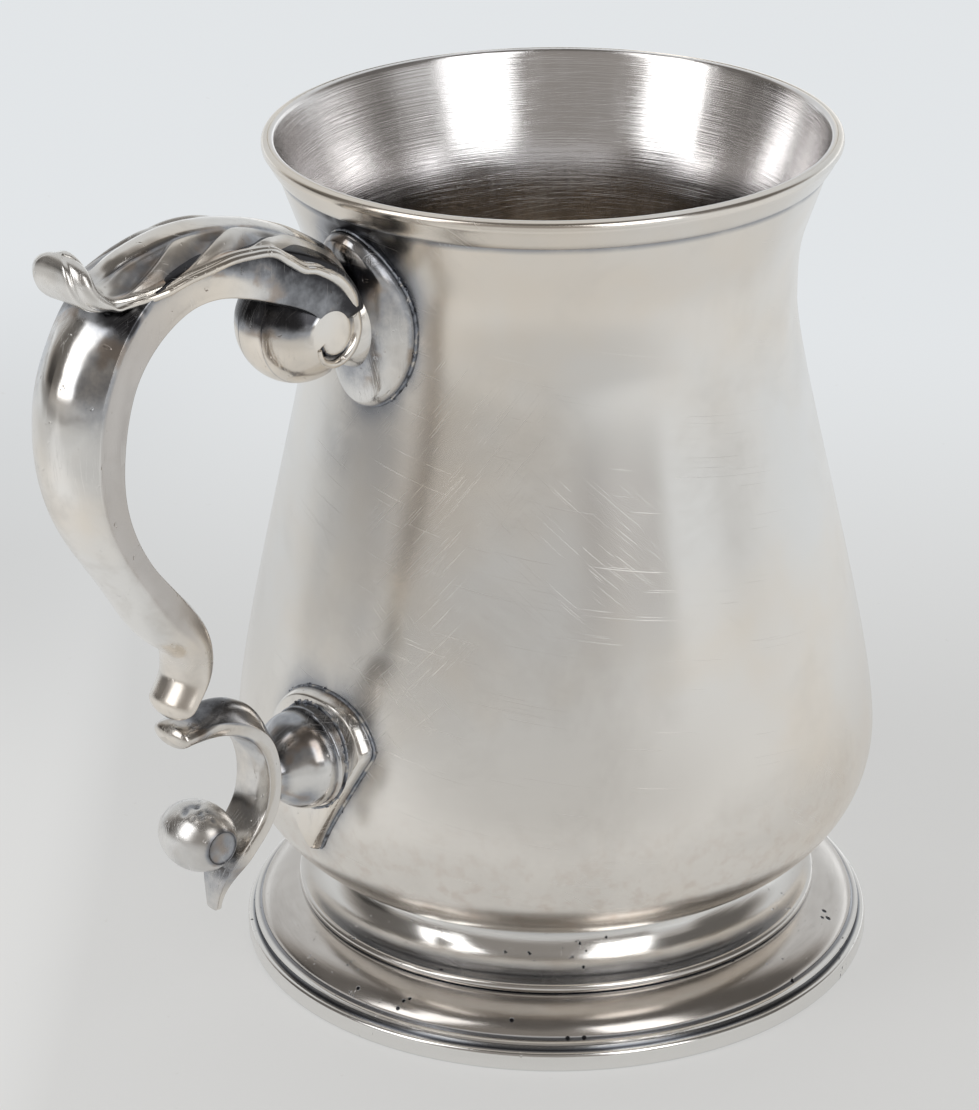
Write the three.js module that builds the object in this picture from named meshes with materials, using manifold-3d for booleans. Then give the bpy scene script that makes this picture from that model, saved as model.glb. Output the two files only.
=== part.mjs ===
// A silver pint mug of baluster form: a raised bowl with an applied rim band, a spreading moulded
// foot on a base wire, and a cast double-scroll handle under an acanthus leaf.
// Millimetres, +Z up. The mug stands on z = 0 and its handle points to -X.
import * as THREE from 'three';
import { mergeVertices } from 'three/addons/utils/BufferGeometryUtils.js';
import Module from 'manifold-3d';

const wasm = await Module();
wasm.setup();

// Bowl: heights are taken up from the foot or down from the lip
const MUG_HEIGHT = 127;
const LIP_RADIUS = 40.8;
const LIP_FLARE = 0.29;
const LIP_EASE = 16;
const WAIST_RADIUS = 35.3;
const WAIST_DROP = 24.5;
const WAIST_EASE_UP = 12;
const WAIST_EASE_DOWN = 10;
const BELLY_RADIUS = 48;
const BELLY_RISE = 18.5;
const BELLY_EASE = 14;
const BASE_TURN = 16.5;
const BOWL_WALL = 1;

// Rim band soldered round the outside of the lip
const RIM_STEP = 0.4;
const RIM_HEIGHT = 4;
const RIM_TOP_THICKNESS = 0.7;
const RIM_LOW_THICKNESS = 0.4;

// Foot: neck, bead, rounded step and base wire
const FOOT_HEIGHT = 16;
const FOOT_WALL = 1.4;
const NECK_LAP = 1.6;
const BEAD_SPREAD = 5.8;
const BEAD_HEIGHT = 8.9;
const BEAD_RADIUS = 0.75;
const STEP_SPREAD = 7.1;
const STEP_SHARE = 0.73;
const FILLET_WIDTH = 0.6;
const WIRE_HEIGHT = 2.9;
const WIRE_WIDTH = 3.2;
const WIRE_PROUD = 1.1;
const WIRE_ROUND = 0.6;

// Solder seam left between neighbouring pieces
const SEAM = 0.3;

// Socket plates and bosses on the bowl
const PLATE_THICKNESS = 1.8;
const UPPER_PLATE_DROP = 1.4;
const UPPER_PLATE_WIDTH = 18.6;
const UPPER_PLATE_HEIGHT = 26.2;
const UPPER_BOSS_WIDTH = 13.4;
const UPPER_BOSS_HEIGHT = 20;
const UPPER_BOSS_LAP = 2.4;
const LOWER_SOCKET_RISE = 28.5;
const LOWER_PLATE_WIDTH = 21.4;
const LOWER_PLATE_TOP = 9;
const LOWER_PLATE_SHOULDER = 2.4;
const LOWER_PLATE_TIP = 16;
const LOWER_PLATE_FULLNESS = 0.75;
const LOWER_PLATE_HOLLOW = 1;
const LOWER_BOSS_RADIUS = 7.4;
const LOWER_BOSS_RING = 3.2;
const LOWER_BOSS_LIP_SHARE = 0.85;
const LOWER_BOSS_NECK = 3.7;
const LOWER_BOSS_LENGTH = 7.8;

// Upper scroll: a volute, a stem over it, the bow of the grip and the tapering lower end
const VOLUTE_STANDOFF = 11.4;
const VOLUTE_RISE = 2.6;
const VOLUTE_RADIUS = 7.8;
const VOLUTE_LENGTH = 15.2;
const VOLUTE_EYE = 4.1;
const VOLUTE_WRAP_SHARE = 0.45;
const BARREL_FULLNESS = 0.9;
const HANDLE_WIDTH = 12.2;
const STEM_DEPTH = 7;
const HANDLE_DEPTH = 9;
const HANDLE_WALL = 1.5;
const VENT_RADIUS = 0.6;
const BOW_REACH = 39;
const BOW_DROP = 9.3;
const STEM_EASE = 13;
const STEM_LEAN = 0.64;
const SHOULDER_EASE = 27.5;
const BOW_EASE_SHARE = 0.52;
const ANKLE_EASE_SHARE = 0.245;
const ANKLE_HEIGHT = 10.6;
const ANKLE_SET = 1.4;
const END_SET = 0.4;
const END_ROUNDING_SHARE = 0.3;
const TIP_WIDTH = 9;
const TIP_DEPTH = 4.8;

// Shares of the grip's line at which it swells, tapers, rounds off, is hollow and is vented
const SWELL_START_SHARE = 0.23;
const SWELL_END_SHARE = 0.43;
const TAPER_START_SHARE = 0.48;
const TAPER_END_SHARE = 0.86;
const ROUNDING_SHARE = 0.04;
const CORE_START_SHARE = 0.24;
const CORE_STOP_SHARE = 0.08;
const VENT_SHARE = 0.53;

// Acanthus leaf on the stem; root and shoulder are shares of the grip's line
const LEAF_WIDTH = 14.6;
const LEAF_ROOT_WIDTH = 8.6;
const LEAF_TIP_WIDTH = 7;
const LEAF_THICKNESS = 1.2;
const LEAF_CROWN = 0.8;
const LEAF_DROOP = 1.6;
const LEAF_OVERHANG = 11.4;
const LEAF_CURL = 4.6;
const LEAF_FULL_SHARE = 0.35;
const LEAF_NARROW_SHARE = 0.6;
const LEAF_POINT_SHARE = 0.1;
const LEAF_POINTEDNESS = 0.9;
const LEAF_ROOT_SHARE = 0.06;
const LEAF_SHOULDER_SHARE = 0.33;
const LEAF_HELD_SHARE = 0.68;
const LEAF_FLOW_SHARE = 0.5;
const LEAF_DIP_SHARE = 1.8;

// Lower scroll: a strap from under the grip's end, past the boss, to a pointed tail
const STRAP_WIDTH = 6.2;
const STRAP_DEPTH = 2.9;
const STRAP_OFFSET = 1;
const STRAP_REACH = 15.2;
const STRAP_RISE = 10.8;
const STRAP_EASE = 6.5;
const ARCH_EASE = 10;
const ARCH_LIFT = 0.8;
const TAIL_REACH = 9.2;
const TAIL_DROP = 18.2;
const TAIL_EASE = 10;
const TAIL_FLICK = 0.8;
const TAIL_WIDTH = 1.4;
const TAIL_START_SHARE = 0.76;
const NOSE_SHARE = 0.06;
const NOSE_ROUNDING_SHARE = 0.4;
const BULB_RADIUS = 4.7;
const BULB_LENGTH = 9;
const BULB_EYE = 2.9;
const BULB_SEAT = 0.2;
const BULB_SHARE = 0.82;

// Facets, and the share of a line over which its direction is read
const ROUND = 48;
const SMALL_ROUND = 20;
const NEARBY = 0.01;

// Heights and radii that the driving sizes give
const WAIST_Z = MUG_HEIGHT - WAIST_DROP;
const BELLY_Z = FOOT_HEIGHT + BELLY_RISE;
const BASE_RADIUS = BELLY_RADIUS - BASE_TURN;
const RIM_LOW = MUG_HEIGHT - RIM_STEP - RIM_HEIGHT;
const UPPER_Z = RIM_LOW - UPPER_PLATE_DROP - UPPER_PLATE_HEIGHT / 2;
const LOWER_Z = FOOT_HEIGHT + LOWER_SOCKET_RISE;

const point = (x, y) => new THREE.Vector2(x, y);

// Closed meshes with only merged positions, whose faces point outwards
function clean(geometry) {
  geometry.deleteAttribute('normal');
  geometry.deleteAttribute('uv');
  const merged = mergeVertices(geometry, 1e-4);
  const index = merged.index.array;
  const faces = [];
  for (let i = 0; i < index.length; i += 3) {
    const [a, b, c] = index.slice(i, i + 3);
    if (a !== b && b !== c && c !== a) faces.push(a, b, c);
  }
  if (signedVolume(merged.attributes.position, faces) < 0) faces.reverse();
  merged.setIndex(faces);
  return merged;
}

function signedVolume(position, faces) {
  const corner = (i) => new THREE.Vector3().fromBufferAttribute(position, faces[i]);
  let volume = 0;
  for (let i = 0; i < faces.length; i += 3) {
    volume += corner(i).dot(corner(i + 1).cross(corner(i + 2))) / 6;
  }
  return volume;
}

// Solids for cutting and joining, and meshes back from them
function toSolid(geometry) {
  const cleaned = clean(geometry);
  return new wasm.Manifold(new wasm.Mesh({
    numProp: 3,
    vertProperties: new Float32Array(cleaned.attributes.position.array),
    triVerts: new Uint32Array(cleaned.index.array),
  }));
}

function toGeometry(solid) {
  const mesh = solid.getMesh();
  const geometry = new THREE.BufferGeometry();
  geometry.setAttribute('position', new THREE.BufferAttribute(mesh.vertProperties, 3));
  geometry.setIndex(new THREE.BufferAttribute(mesh.triVerts, 1));
  return geometry;
}

// A ring or bowl turned about the mug's axis from points of radius and height
function turned(points, segments = ROUND) {
  return new THREE.LatheGeometry(points, segments).rotateX(Math.PI / 2);
}

// The outer line of the bowl, from the axis under its base to the lip
function bowlOutline() {
  const base = new THREE.EllipseCurve(BASE_RADIUS, BELLY_Z, BASE_TURN, BELLY_RISE, -Math.PI / 2, 0);
  const body = new THREE.CubicBezierCurve(
    point(BELLY_RADIUS, BELLY_Z),
    point(BELLY_RADIUS, BELLY_Z + BELLY_EASE),
    point(WAIST_RADIUS, WAIST_Z - WAIST_EASE_DOWN),
    point(WAIST_RADIUS, WAIST_Z),
  );
  const flare = new THREE.CubicBezierCurve(
    point(WAIST_RADIUS, WAIST_Z),
    point(WAIST_RADIUS, WAIST_Z + WAIST_EASE_UP),
    point(LIP_RADIUS - LIP_EASE * Math.sin(LIP_FLARE), MUG_HEIGHT - LIP_EASE * Math.cos(LIP_FLARE)),
    point(LIP_RADIUS, MUG_HEIGHT),
  );
  return [
    point(0, FOOT_HEIGHT),
    ...base.getPoints(6),
    ...body.getPoints(8).slice(1),
    ...flare.getPoints(6).slice(1),
  ];
}

// A line moved sideways by a distance, to the left of its direction
function offsetLine(points, distance) {
  return points.map((here, i) => {
    const before = points[Math.max(i - 1, 0)];
    const after = points[Math.min(i + 1, points.length - 1)];
    const along = after.clone().sub(before).normalize();
    return point(here.x - along.y * distance, here.y + along.x * distance);
  });
}

const outline = bowlOutline();
const wallLine = outline.slice(1);

// The bowl's outer radius at a height
function bowlRadius(z) {
  const next = wallLine.findIndex((here, i) => i > 0 && here.y >= z);
  const high = wallLine[next < 0 ? wallLine.length - 1 : next];
  const low = wallLine[(next < 0 ? wallLine.length - 1 : next) - 1];
  return low.x + ((high.x - low.x) * (z - low.y)) / (high.y - low.y);
}

function bowl() {
  const inner = offsetLine(outline, BOWL_WALL);
  inner[0].x = 0;
  const lip = inner[inner.length - 1];
  lip.set(LIP_RADIUS - BOWL_WALL / Math.cos(LIP_FLARE), MUG_HEIGHT);
  return turned([...outline, ...inner.reverse()]);
}

function rimBand() {
  const top = MUG_HEIGHT - RIM_STEP;
  const low = RIM_LOW;
  const inside = (z) => bowlRadius(z) + SEAM;
  const middle = (top + low) / 2;
  const profile = [
    point(inside(low), low),
    point(inside(low) + RIM_LOW_THICKNESS, low + RIM_LOW_THICKNESS),
    point(inside(middle) + (RIM_LOW_THICKNESS + RIM_TOP_THICKNESS) / 2, middle),
    point(inside(top) + RIM_TOP_THICKNESS, top - RIM_TOP_THICKNESS / 2),
    point(inside(top) + RIM_TOP_THICKNESS / 2, top),
    point(inside(top), top),
    point(inside(middle), middle),
  ];
  return turned([...profile, profile[0]]);
}

// Foot: the cast dome from the neck to the fillet, and the wire that it stands on
const NECK_RADIUS = BASE_RADIUS + NECK_LAP;
const BEAD_REACH = NECK_RADIUS + BEAD_SPREAD;
const STEP_REACH = BEAD_REACH + STEP_SPREAD;
const FILLET_REACH = STEP_REACH + FILLET_WIDTH;

function footDome() {
  const top = FOOT_HEIGHT - SEAM;
  const bottom = WIRE_HEIGHT + SEAM;
  const coveFoot = BEAD_HEIGHT + BEAD_RADIUS;
  const groove = BEAD_HEIGHT - BEAD_RADIUS;
  const coveReach = BEAD_SPREAD - BEAD_RADIUS;
  const cove = new THREE.EllipseCurve(
    NECK_RADIUS + coveReach, top, coveReach, top - coveFoot, Math.PI, Math.PI * 1.5,
  );
  const bead = new THREE.EllipseCurve(
    BEAD_REACH, BEAD_HEIGHT, BEAD_RADIUS, BEAD_RADIUS, Math.PI / 2, -Math.PI / 2, true,
  );
  const stepDrop = (groove - bottom) * STEP_SHARE;
  const step = new THREE.EllipseCurve(
    BEAD_REACH, groove - stepDrop, STEP_SPREAD, stepDrop, Math.PI / 2, 0, true,
  );
  const outer = [
    ...cove.getPoints(4),
    ...bead.getPoints(4),
    ...step.getPoints(5).slice(1),
    point(FILLET_REACH, groove - stepDrop),
    point(FILLET_REACH, bottom),
  ];
  const inner = [
    point(FILLET_REACH - FOOT_WALL, bottom),
    point(STEP_REACH - FOOT_WALL, groove - stepDrop),
    point(BEAD_REACH + STEP_SPREAD / 2 - FOOT_WALL, groove - FOOT_WALL),
    point(BEAD_REACH - FOOT_WALL, BEAD_HEIGHT - FOOT_WALL),
    point(NECK_RADIUS - FOOT_WALL / 2, coveFoot),
    point(NECK_RADIUS - FOOT_WALL, (coveFoot + top) / 2),
    point(NECK_RADIUS - FOOT_WALL, top),
  ];
  return turned([...outer, ...inner, outer[0]]);
}

function baseWire() {
  const outside = FILLET_REACH + WIRE_PROUD;
  const inside = outside - WIRE_WIDTH;
  const profile = [
    point(inside, 0),
    point(outside - WIRE_ROUND / 2, 0),
    point(outside, WIRE_ROUND),
    point(outside, WIRE_HEIGHT - WIRE_ROUND),
    point(outside - WIRE_ROUND, WIRE_HEIGHT),
    point(inside, WIRE_HEIGHT),
  ];
  return turned([...profile, profile[0]]);
}

// Shapes drawn across the handle: x is the mug's Y and y is its height
const ACROSS = new THREE.Matrix4().makeBasis(
  new THREE.Vector3(0, 1, 0), new THREE.Vector3(0, 0, 1), new THREE.Vector3(1, 0, 0),
);

// A plate with the given outline, bent to lie on the bowl
function plate(shape, low, high) {
  const reach = BELLY_RADIUS + 2 * PLATE_THICKNESS;
  const block = new THREE.ExtrudeGeometry(shape, { depth: reach, bevelEnabled: false, curveSegments: 6 });
  block.applyMatrix4(ACROSS).translate(-reach, 0, 0);
  return toSolid(block).intersect(toSolid(turned(skin(SEAM, SEAM + PLATE_THICKNESS, low, high))));
}

// A closed ring profile that follows the bowl between two heights
function skin(near, far, low, high) {
  const steps = 14;
  const inner = [];
  const outer = [];
  for (let i = 0; i <= steps; i += 1) {
    const z = low + ((high - low) * i) / steps;
    inner.push(point(bowlRadius(z) + near, z));
    outer.push(point(bowlRadius(z) + far, z));
  }
  return [...outer, ...inner.reverse(), outer[0]];
}

// Everything within a distance of the bowl's wall, for cutting what is soldered to a plate
function bowlCutter(distance, low, high) {
  const steps = 14;
  const line = [point(0, low)];
  for (let i = 0; i <= steps; i += 1) {
    const z = low + ((high - low) * i) / steps;
    line.push(point(bowlRadius(z) + distance, z));
  }
  line.push(point(0, high));
  return toSolid(turned(line));
}

function upperPlate() {
  const shape = new THREE.Shape();
  shape.absellipse(0, UPPER_Z, UPPER_PLATE_WIDTH / 2, UPPER_PLATE_HEIGHT / 2, 0, Math.PI * 2);
  const half = UPPER_PLATE_HEIGHT / 2 + SEAM;
  return plate(shape, UPPER_Z - half, UPPER_Z + half);
}

function lowerPlate() {
  const half = LOWER_PLATE_WIDTH / 2;
  const top = LOWER_Z + LOWER_PLATE_TOP;
  const corner = LOWER_Z + LOWER_PLATE_SHOULDER;
  const tip = LOWER_Z - LOWER_PLATE_TIP;
  const full = half * LOWER_PLATE_FULLNESS;
  const hollow = (tip + corner) / 2 - LOWER_PLATE_HOLLOW;
  const shape = new THREE.Shape();
  shape.moveTo(0, tip);
  shape.quadraticCurveTo(half / 2, hollow, half, corner);
  shape.quadraticCurveTo(full, top, 0, top);
  shape.quadraticCurveTo(-full, top, -half, corner);
  shape.quadraticCurveTo(-half / 2, hollow, 0, tip);
  return plate(shape, tip - SEAM, top + SEAM);
}

// Points in the handle's plane: distance out from the mug's axis, and height
const UPPER_FACE = bowlRadius(UPPER_Z) + SEAM + PLATE_THICKNESS;
const LOWER_FACE = bowlRadius(LOWER_Z) + SEAM + PLATE_THICKNESS;
const volute = point(UPPER_FACE + VOLUTE_STANDOFF, UPPER_Z + VOLUTE_RISE);
const strapBack = point(LOWER_FACE + LOWER_BOSS_LENGTH + STRAP_DEPTH / 2, LOWER_Z + STRAP_OFFSET);
const strapNose = point(strapBack.x + STRAP_REACH, strapBack.y + STRAP_RISE);

// The lower scroll's line, from its nose under the grip to the tip of its tail
function strapLine() {
  const line = new THREE.CurvePath();
  line.add(new THREE.CubicBezierCurve(
    strapNose,
    point(strapNose.x - ARCH_EASE, strapNose.y + ARCH_LIFT),
    point(strapBack.x, strapBack.y + STRAP_EASE),
    strapBack,
  ));
  const tail = point(strapBack.x + TAIL_REACH, strapBack.y - TAIL_DROP);
  line.add(new THREE.CubicBezierCurve(
    strapBack,
    point(strapBack.x, strapBack.y - TAIL_EASE),
    point(tail.x - TAIL_FLICK, tail.y + TAIL_EASE),
    tail,
  ));
  return line;
}

// The grip's line, from the back of the volute over it, round the bow and down to the lower scroll
function gripLine() {
  const start = point(volute.x, volute.y + VOLUTE_RADIUS);
  const bow = point(volute.x + BOW_REACH, volute.y - BOW_DROP);
  const end = point(strapNose.x - END_SET, strapNose.y + STRAP_DEPTH / 2 + SEAM);
  const ankle = point(end.x - ANKLE_SET, end.y + ANKLE_HEIGHT);
  const fall = bow.y - ankle.y;
  const lean = point(Math.cos(STEM_LEAN), Math.sin(STEM_LEAN));
  const wrap = VOLUTE_RADIUS * VOLUTE_WRAP_SHARE;
  const line = new THREE.CurvePath();
  line.add(new THREE.QuadraticBezierCurve(
    point(volute.x - VOLUTE_RADIUS / 2, volute.y + VOLUTE_RADIUS / 4),
    point(start.x - wrap * lean.x, start.y - wrap * lean.y),
    start,
  ));
  line.add(new THREE.CubicBezierCurve(
    start,
    point(start.x + STEM_EASE * lean.x, start.y + STEM_EASE * lean.y),
    point(bow.x, bow.y + SHOULDER_EASE),
    bow,
  ));
  line.add(new THREE.CubicBezierCurve(
    bow,
    point(bow.x, bow.y - fall * BOW_EASE_SHARE),
    point(ankle.x, ankle.y + fall * ANKLE_EASE_SHARE),
    ankle,
  ));
  line.add(new THREE.CubicBezierCurve(
    ankle, point(ankle.x, ankle.y - ANKLE_HEIGHT / 3), point(end.x, end.y + ANKLE_HEIGHT / 3), end,
  ));
  return line;
}

// Section of the scrolls: flat sides, a rounded crown outside and a slightly rounded back
function scrollSection() {
  const arris = 0.35;
  const back = -0.8;
  const shape = new THREE.Shape();
  shape.moveTo(-1, back);
  shape.quadraticCurveTo(0, -2 - back, 1, back);
  shape.lineTo(1, arris);
  shape.quadraticCurveTo(0, 2 - arris, -1, arris);
  shape.lineTo(-1, back);
  return shape;
}

// A bar of that section bent along a line; crown is 1 or -1 for the side its crown is on,
// size gives the half width and half depth at a share of the line, and span is the share it covers
function bentBar(line, steps, crown, size, span = [0, 1]) {
  const bar = new THREE.ExtrudeGeometry(scrollSection(), {
    depth: 1, steps, bevelEnabled: false, curveSegments: 5,
  });
  const place = bar.attributes.position;
  for (let i = 0; i < place.count; i += 1) {
    const t = THREE.MathUtils.lerp(span[0], span[1], place.getZ(i));
    const centre = line.getPoint(t);
    const along = line.getTangent(t);
    const half = size(t);
    const out = place.getY(i) * half.depth * crown;
    place.setXYZ(i, -(centre.x - along.y * out), place.getX(i) * half.width, centre.y + along.x * out);
  }
  return toSolid(bar);
}

// A barrel across the handle, with flat eyes at its ends
function barrel(centre, radius, length, eye) {
  const half = length / 2;
  const side = new THREE.QuadraticBezierCurve(
    point(eye, half), point(radius, half * BARREL_FULLNESS), point(radius, 0),
  );
  const upper = side.getPoints(6);
  const lower = upper.slice(0, -1).reverse().map((p) => point(p.x, -p.y));
  const lathe = new THREE.LatheGeometry([point(0, half), ...upper, ...lower, point(0, -half)], SMALL_ROUND);
  return toSolid(lathe.translate(-centre.x, 0, centre.y));
}

const ease = (t, from, to) => THREE.MathUtils.smoothstep(t, from, to);

// The grip's full width and depth at a share of its line
function gripSize(t) {
  const swell = ease(t, SWELL_START_SHARE, SWELL_END_SHARE);
  const taper = ease(t, TAPER_START_SHARE, TAPER_END_SHARE);
  const end = 1 - END_ROUNDING_SHARE * ease(t, 1 - ROUNDING_SHARE, 1);
  const upperDepth = THREE.MathUtils.lerp(STEM_DEPTH, HANDLE_DEPTH, swell);
  return {
    width: THREE.MathUtils.lerp(HANDLE_WIDTH, TIP_WIDTH, taper) * end,
    depth: THREE.MathUtils.lerp(upperDepth, TIP_DEPTH, taper) * end,
  };
}

function grip(grow) {
  const size = (t) => ({ width: gripSize(t).width / 2 + grow, depth: gripSize(t).depth / 2 + grow });
  const bar = bentBar(gripLine(), 32, 1, size);
  return bar.add(barrel(volute, VOLUTE_RADIUS + grow, VOLUTE_LENGTH + 2 * grow, VOLUTE_EYE + grow));
}

// The hollow of the cast grip, with the vent that lets it breathe
function gripCore() {
  const line = gripLine();
  const size = (t) => ({
    width: gripSize(t).width / 2 - HANDLE_WALL,
    depth: gripSize(t).depth / 2 - HANDLE_WALL,
  });
  const centre = line.getPoint(VENT_SHARE);
  const along = line.getTangent(VENT_SHARE);
  const inward = new THREE.Vector3(-along.y, 0, -along.x);
  const turn = new THREE.Quaternion().setFromUnitVectors(new THREE.Vector3(0, 1, 0), inward);
  const vent = new THREE.CylinderGeometry(VENT_RADIUS, VENT_RADIUS, HANDLE_DEPTH, 8).applyQuaternion(turn);
  inward.multiplyScalar(HANDLE_DEPTH / 2).add(new THREE.Vector3(-centre.x, 0, centre.y));
  vent.translate(inward.x, inward.y, inward.z);
  return bentBar(line, 16, 1, size, [CORE_START_SHARE, 1 - CORE_STOP_SHARE]).add(toSolid(vent));
}

function strap(grow) {
  const size = (t) => {
    const taper = ease(t, TAIL_START_SHARE, 1);
    const nose = 1 - NOSE_ROUNDING_SHARE * (1 - ease(t, 0, NOSE_SHARE));
    return {
      width: (THREE.MathUtils.lerp(STRAP_WIDTH, TAIL_WIDTH, taper) / 2) * nose + grow,
      depth: (THREE.MathUtils.lerp(STRAP_DEPTH, TAIL_WIDTH, taper) / 2) * nose + grow,
    };
  };
  return bentBar(strapLine(), 24, -1, size);
}

// The leaf's line: along the stem to the shoulder, then free of it and up to the curled tip
function leafLine() {
  const grips = gripLine();
  const onStem = (t) => {
    const centre = grips.getPoint(t);
    const along = grips.getTangent(t);
    const rise = gripSize(t).depth / 2 + SEAM;
    return point(centre.x - along.y * rise, centre.y + along.x * rise);
  };
  const edge = onStem(LEAF_SHOULDER_SHARE);
  const flow = grips.getTangent(LEAF_SHOULDER_SHARE).multiplyScalar(LEAF_OVERHANG * LEAF_FLOW_SHARE);
  const tip = point(edge.x + LEAF_OVERHANG, edge.y + LEAF_CURL);
  const free = new THREE.CubicBezierCurve(
    edge, edge.clone().add(flow), point(tip.x, tip.y - LEAF_CURL * LEAF_DIP_SHARE), tip,
  );
  return (s) => {
    if (s > LEAF_HELD_SHARE) return free.getPoint((s - LEAF_HELD_SHARE) / (1 - LEAF_HELD_SHARE));
    return onStem(THREE.MathUtils.lerp(LEAF_ROOT_SHARE, LEAF_SHOULDER_SHARE, s / LEAF_HELD_SHARE));
  };
}

// The leaf's full width at a share of its length: narrow at the root, full, then rounded at the tip
function leafWidth(s) {
  const body = THREE.MathUtils.lerp(LEAF_ROOT_WIDTH, LEAF_WIDTH, ease(s, 0, LEAF_FULL_SHARE));
  const blade = THREE.MathUtils.lerp(body, LEAF_TIP_WIDTH, ease(s, LEAF_NARROW_SHARE, 1));
  return blade * Math.sqrt(1 - LEAF_POINTEDNESS * ease(s, 1 - LEAF_POINT_SHARE, 1));
}

// The leaf: a crowned slab laid on that line
function leaf() {
  const line = leafLine();
  const slab = new THREE.BoxGeometry(1, 1, 1, 22, 6, 1);
  const place = slab.attributes.position;
  for (let i = 0; i < place.count; i += 1) {
    const s = place.getX(i) + 0.5;
    const across = place.getY(i) * 2;
    const here = line(s);
    const near = THREE.MathUtils.clamp(s, NEARBY, 1 - NEARBY);
    const along = line(near + NEARBY).sub(line(near - NEARBY)).normalize();
    const droop = LEAF_DROOP * across * across * (1 - ease(s, LEAF_HELD_SHARE, 1));
    const crown = LEAF_CROWN * (1 - across * across);
    const out = (place.getZ(i) > 0 ? LEAF_THICKNESS + crown : 0) - droop;
    place.setXYZ(i, -(here.x - along.y * out), (across * leafWidth(s)) / 2, here.y + along.x * out);
  }
  return toSolid(slab);
}

function upperBoss() {
  const depth = VOLUTE_STANDOFF - VOLUTE_RADIUS + UPPER_BOSS_LAP;
  const dome = new THREE.SphereGeometry(1, SMALL_ROUND, 10);
  dome.scale(depth, UPPER_BOSS_WIDTH / 2, UPPER_BOSS_HEIGHT / 2);
  dome.translate(-UPPER_FACE, 0, UPPER_Z);
  return toSolid(dome);
}

function lowerBoss() {
  const start = -2 * PLATE_THICKNESS;
  const end = LOWER_BOSS_LENGTH + STRAP_DEPTH / 2;
  const lip = LOWER_BOSS_RADIUS * LOWER_BOSS_LIP_SHARE;
  const cove = new THREE.EllipseCurve(
    lip, end, lip - LOWER_BOSS_NECK, end - LOWER_BOSS_RING, -Math.PI / 2, -Math.PI, true,
  );
  const profile = [
    point(0, start),
    point(LOWER_BOSS_RADIUS, start),
    point(LOWER_BOSS_RADIUS, LOWER_BOSS_RING / 2),
    point((LOWER_BOSS_RADIUS + lip) / 2, LOWER_BOSS_RING),
    ...cove.getPoints(6),
    point(0, end),
  ];
  const lathe = new THREE.LatheGeometry(profile, SMALL_ROUND).rotateZ(Math.PI / 2);
  return toSolid(lathe.translate(-LOWER_FACE, 0, LOWER_Z));
}

// The bulb that the lower scroll's strap carries inside its curl
function bulb() {
  const line = strapLine();
  const centre = line.getPoint(BULB_SHARE);
  const along = line.getTangent(BULB_SHARE);
  const out = STRAP_DEPTH / 2 + SEAM + BULB_RADIUS - BULB_SEAT;
  const place = point(centre.x - along.y * out, centre.y + along.x * out);
  return barrel(place, BULB_RADIUS, BULB_LENGTH, BULB_EYE);
}

// Fitting: every piece keeps the solder seam from the one that it is cut by
const gripRoom = grip(SEAM);
const strapRoom = strap(SEAM);
const plateReach = SEAM + PLATE_THICKNESS + SEAM;
const upperRoom = bowlCutter(plateReach, UPPER_Z - UPPER_PLATE_HEIGHT, MUG_HEIGHT);
const lowerRoom = bowlCutter(plateReach, FOOT_HEIGHT + SEAM, LOWER_Z + LOWER_PLATE_TIP + LOWER_PLATE_TOP);

const leafCap = leaf().subtract(gripRoom).subtract(upperRoom);
const upperSocket = upperBoss().subtract(upperRoom).subtract(gripRoom);
const lowerSocket = lowerBoss().subtract(lowerRoom).subtract(strapRoom);
const wholeGrip = grip(0).subtract(strapRoom).subtract(upperRoom).subtract(gripCore());
const bulbEnd = bulb().subtract(strapRoom);

// The grip is cast in two halves, joined on the handle's plane
function castHalf(side) {
  const reach = 2 * MUG_HEIGHT;
  const block = new THREE.BoxGeometry(reach, reach, reach).translate(0, (side * reach) / 2, 0);
  return wholeGrip.intersect(toSolid(block));
}

const SILVER = { color: 0xd8d5ce, metalness: 1, roughness: 0.28 };
const POLISHED = { color: 0xdedbd5, metalness: 1, roughness: 0.16 };
const DULL = { color: 0xb9b5ae, metalness: 1, roughness: 0.34 };

const mug = new THREE.Group();

function addPiece(name, geometry, finish) {
  const piece = new THREE.Mesh(geometry, new THREE.MeshStandardMaterial(finish));
  piece.name = name;
  mug.add(piece);
}

addPiece('bowl', clean(bowl()), SILVER);
addPiece('rim_band', clean(rimBand()), SILVER);
addPiece('foot_dome', clean(footDome()), DULL);
addPiece('foot_base_wire', clean(baseWire()), DULL);
addPiece('upper_plate', toGeometry(upperPlate()), SILVER);
addPiece('upper_boss', toGeometry(upperSocket), POLISHED);
addPiece('grip_half_left', toGeometry(castHalf(1)), POLISHED);
addPiece('grip_half_right', toGeometry(castHalf(-1)), POLISHED);
addPiece('leaf_cap', toGeometry(leafCap), POLISHED);
addPiece('lower_scroll', toGeometry(strap(0)), POLISHED);
addPiece('lower_bulb', toGeometry(bulbEnd), POLISHED);
addPiece('lower_boss', toGeometry(lowerSocket), POLISHED);
addPiece('lower_plate', toGeometry(lowerPlate()), SILVER);

// The origin lies under the middle of the whole mug, on the table
const reach = new THREE.Box3().setFromObject(mug);
mug.position.set(-(reach.min.x + reach.max.x) / 2, -(reach.min.y + reach.max.y) / 2, -reach.min.z);
mug.updateMatrixWorld(true);

export default mug;
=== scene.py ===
"""Looks of a silver pint mug: turned bowl and foot, soldered sockets and a cast double-scroll handle."""

import math

import bmesh
import bpy
import numpy as np
from mathutils import Matrix, Vector


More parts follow.
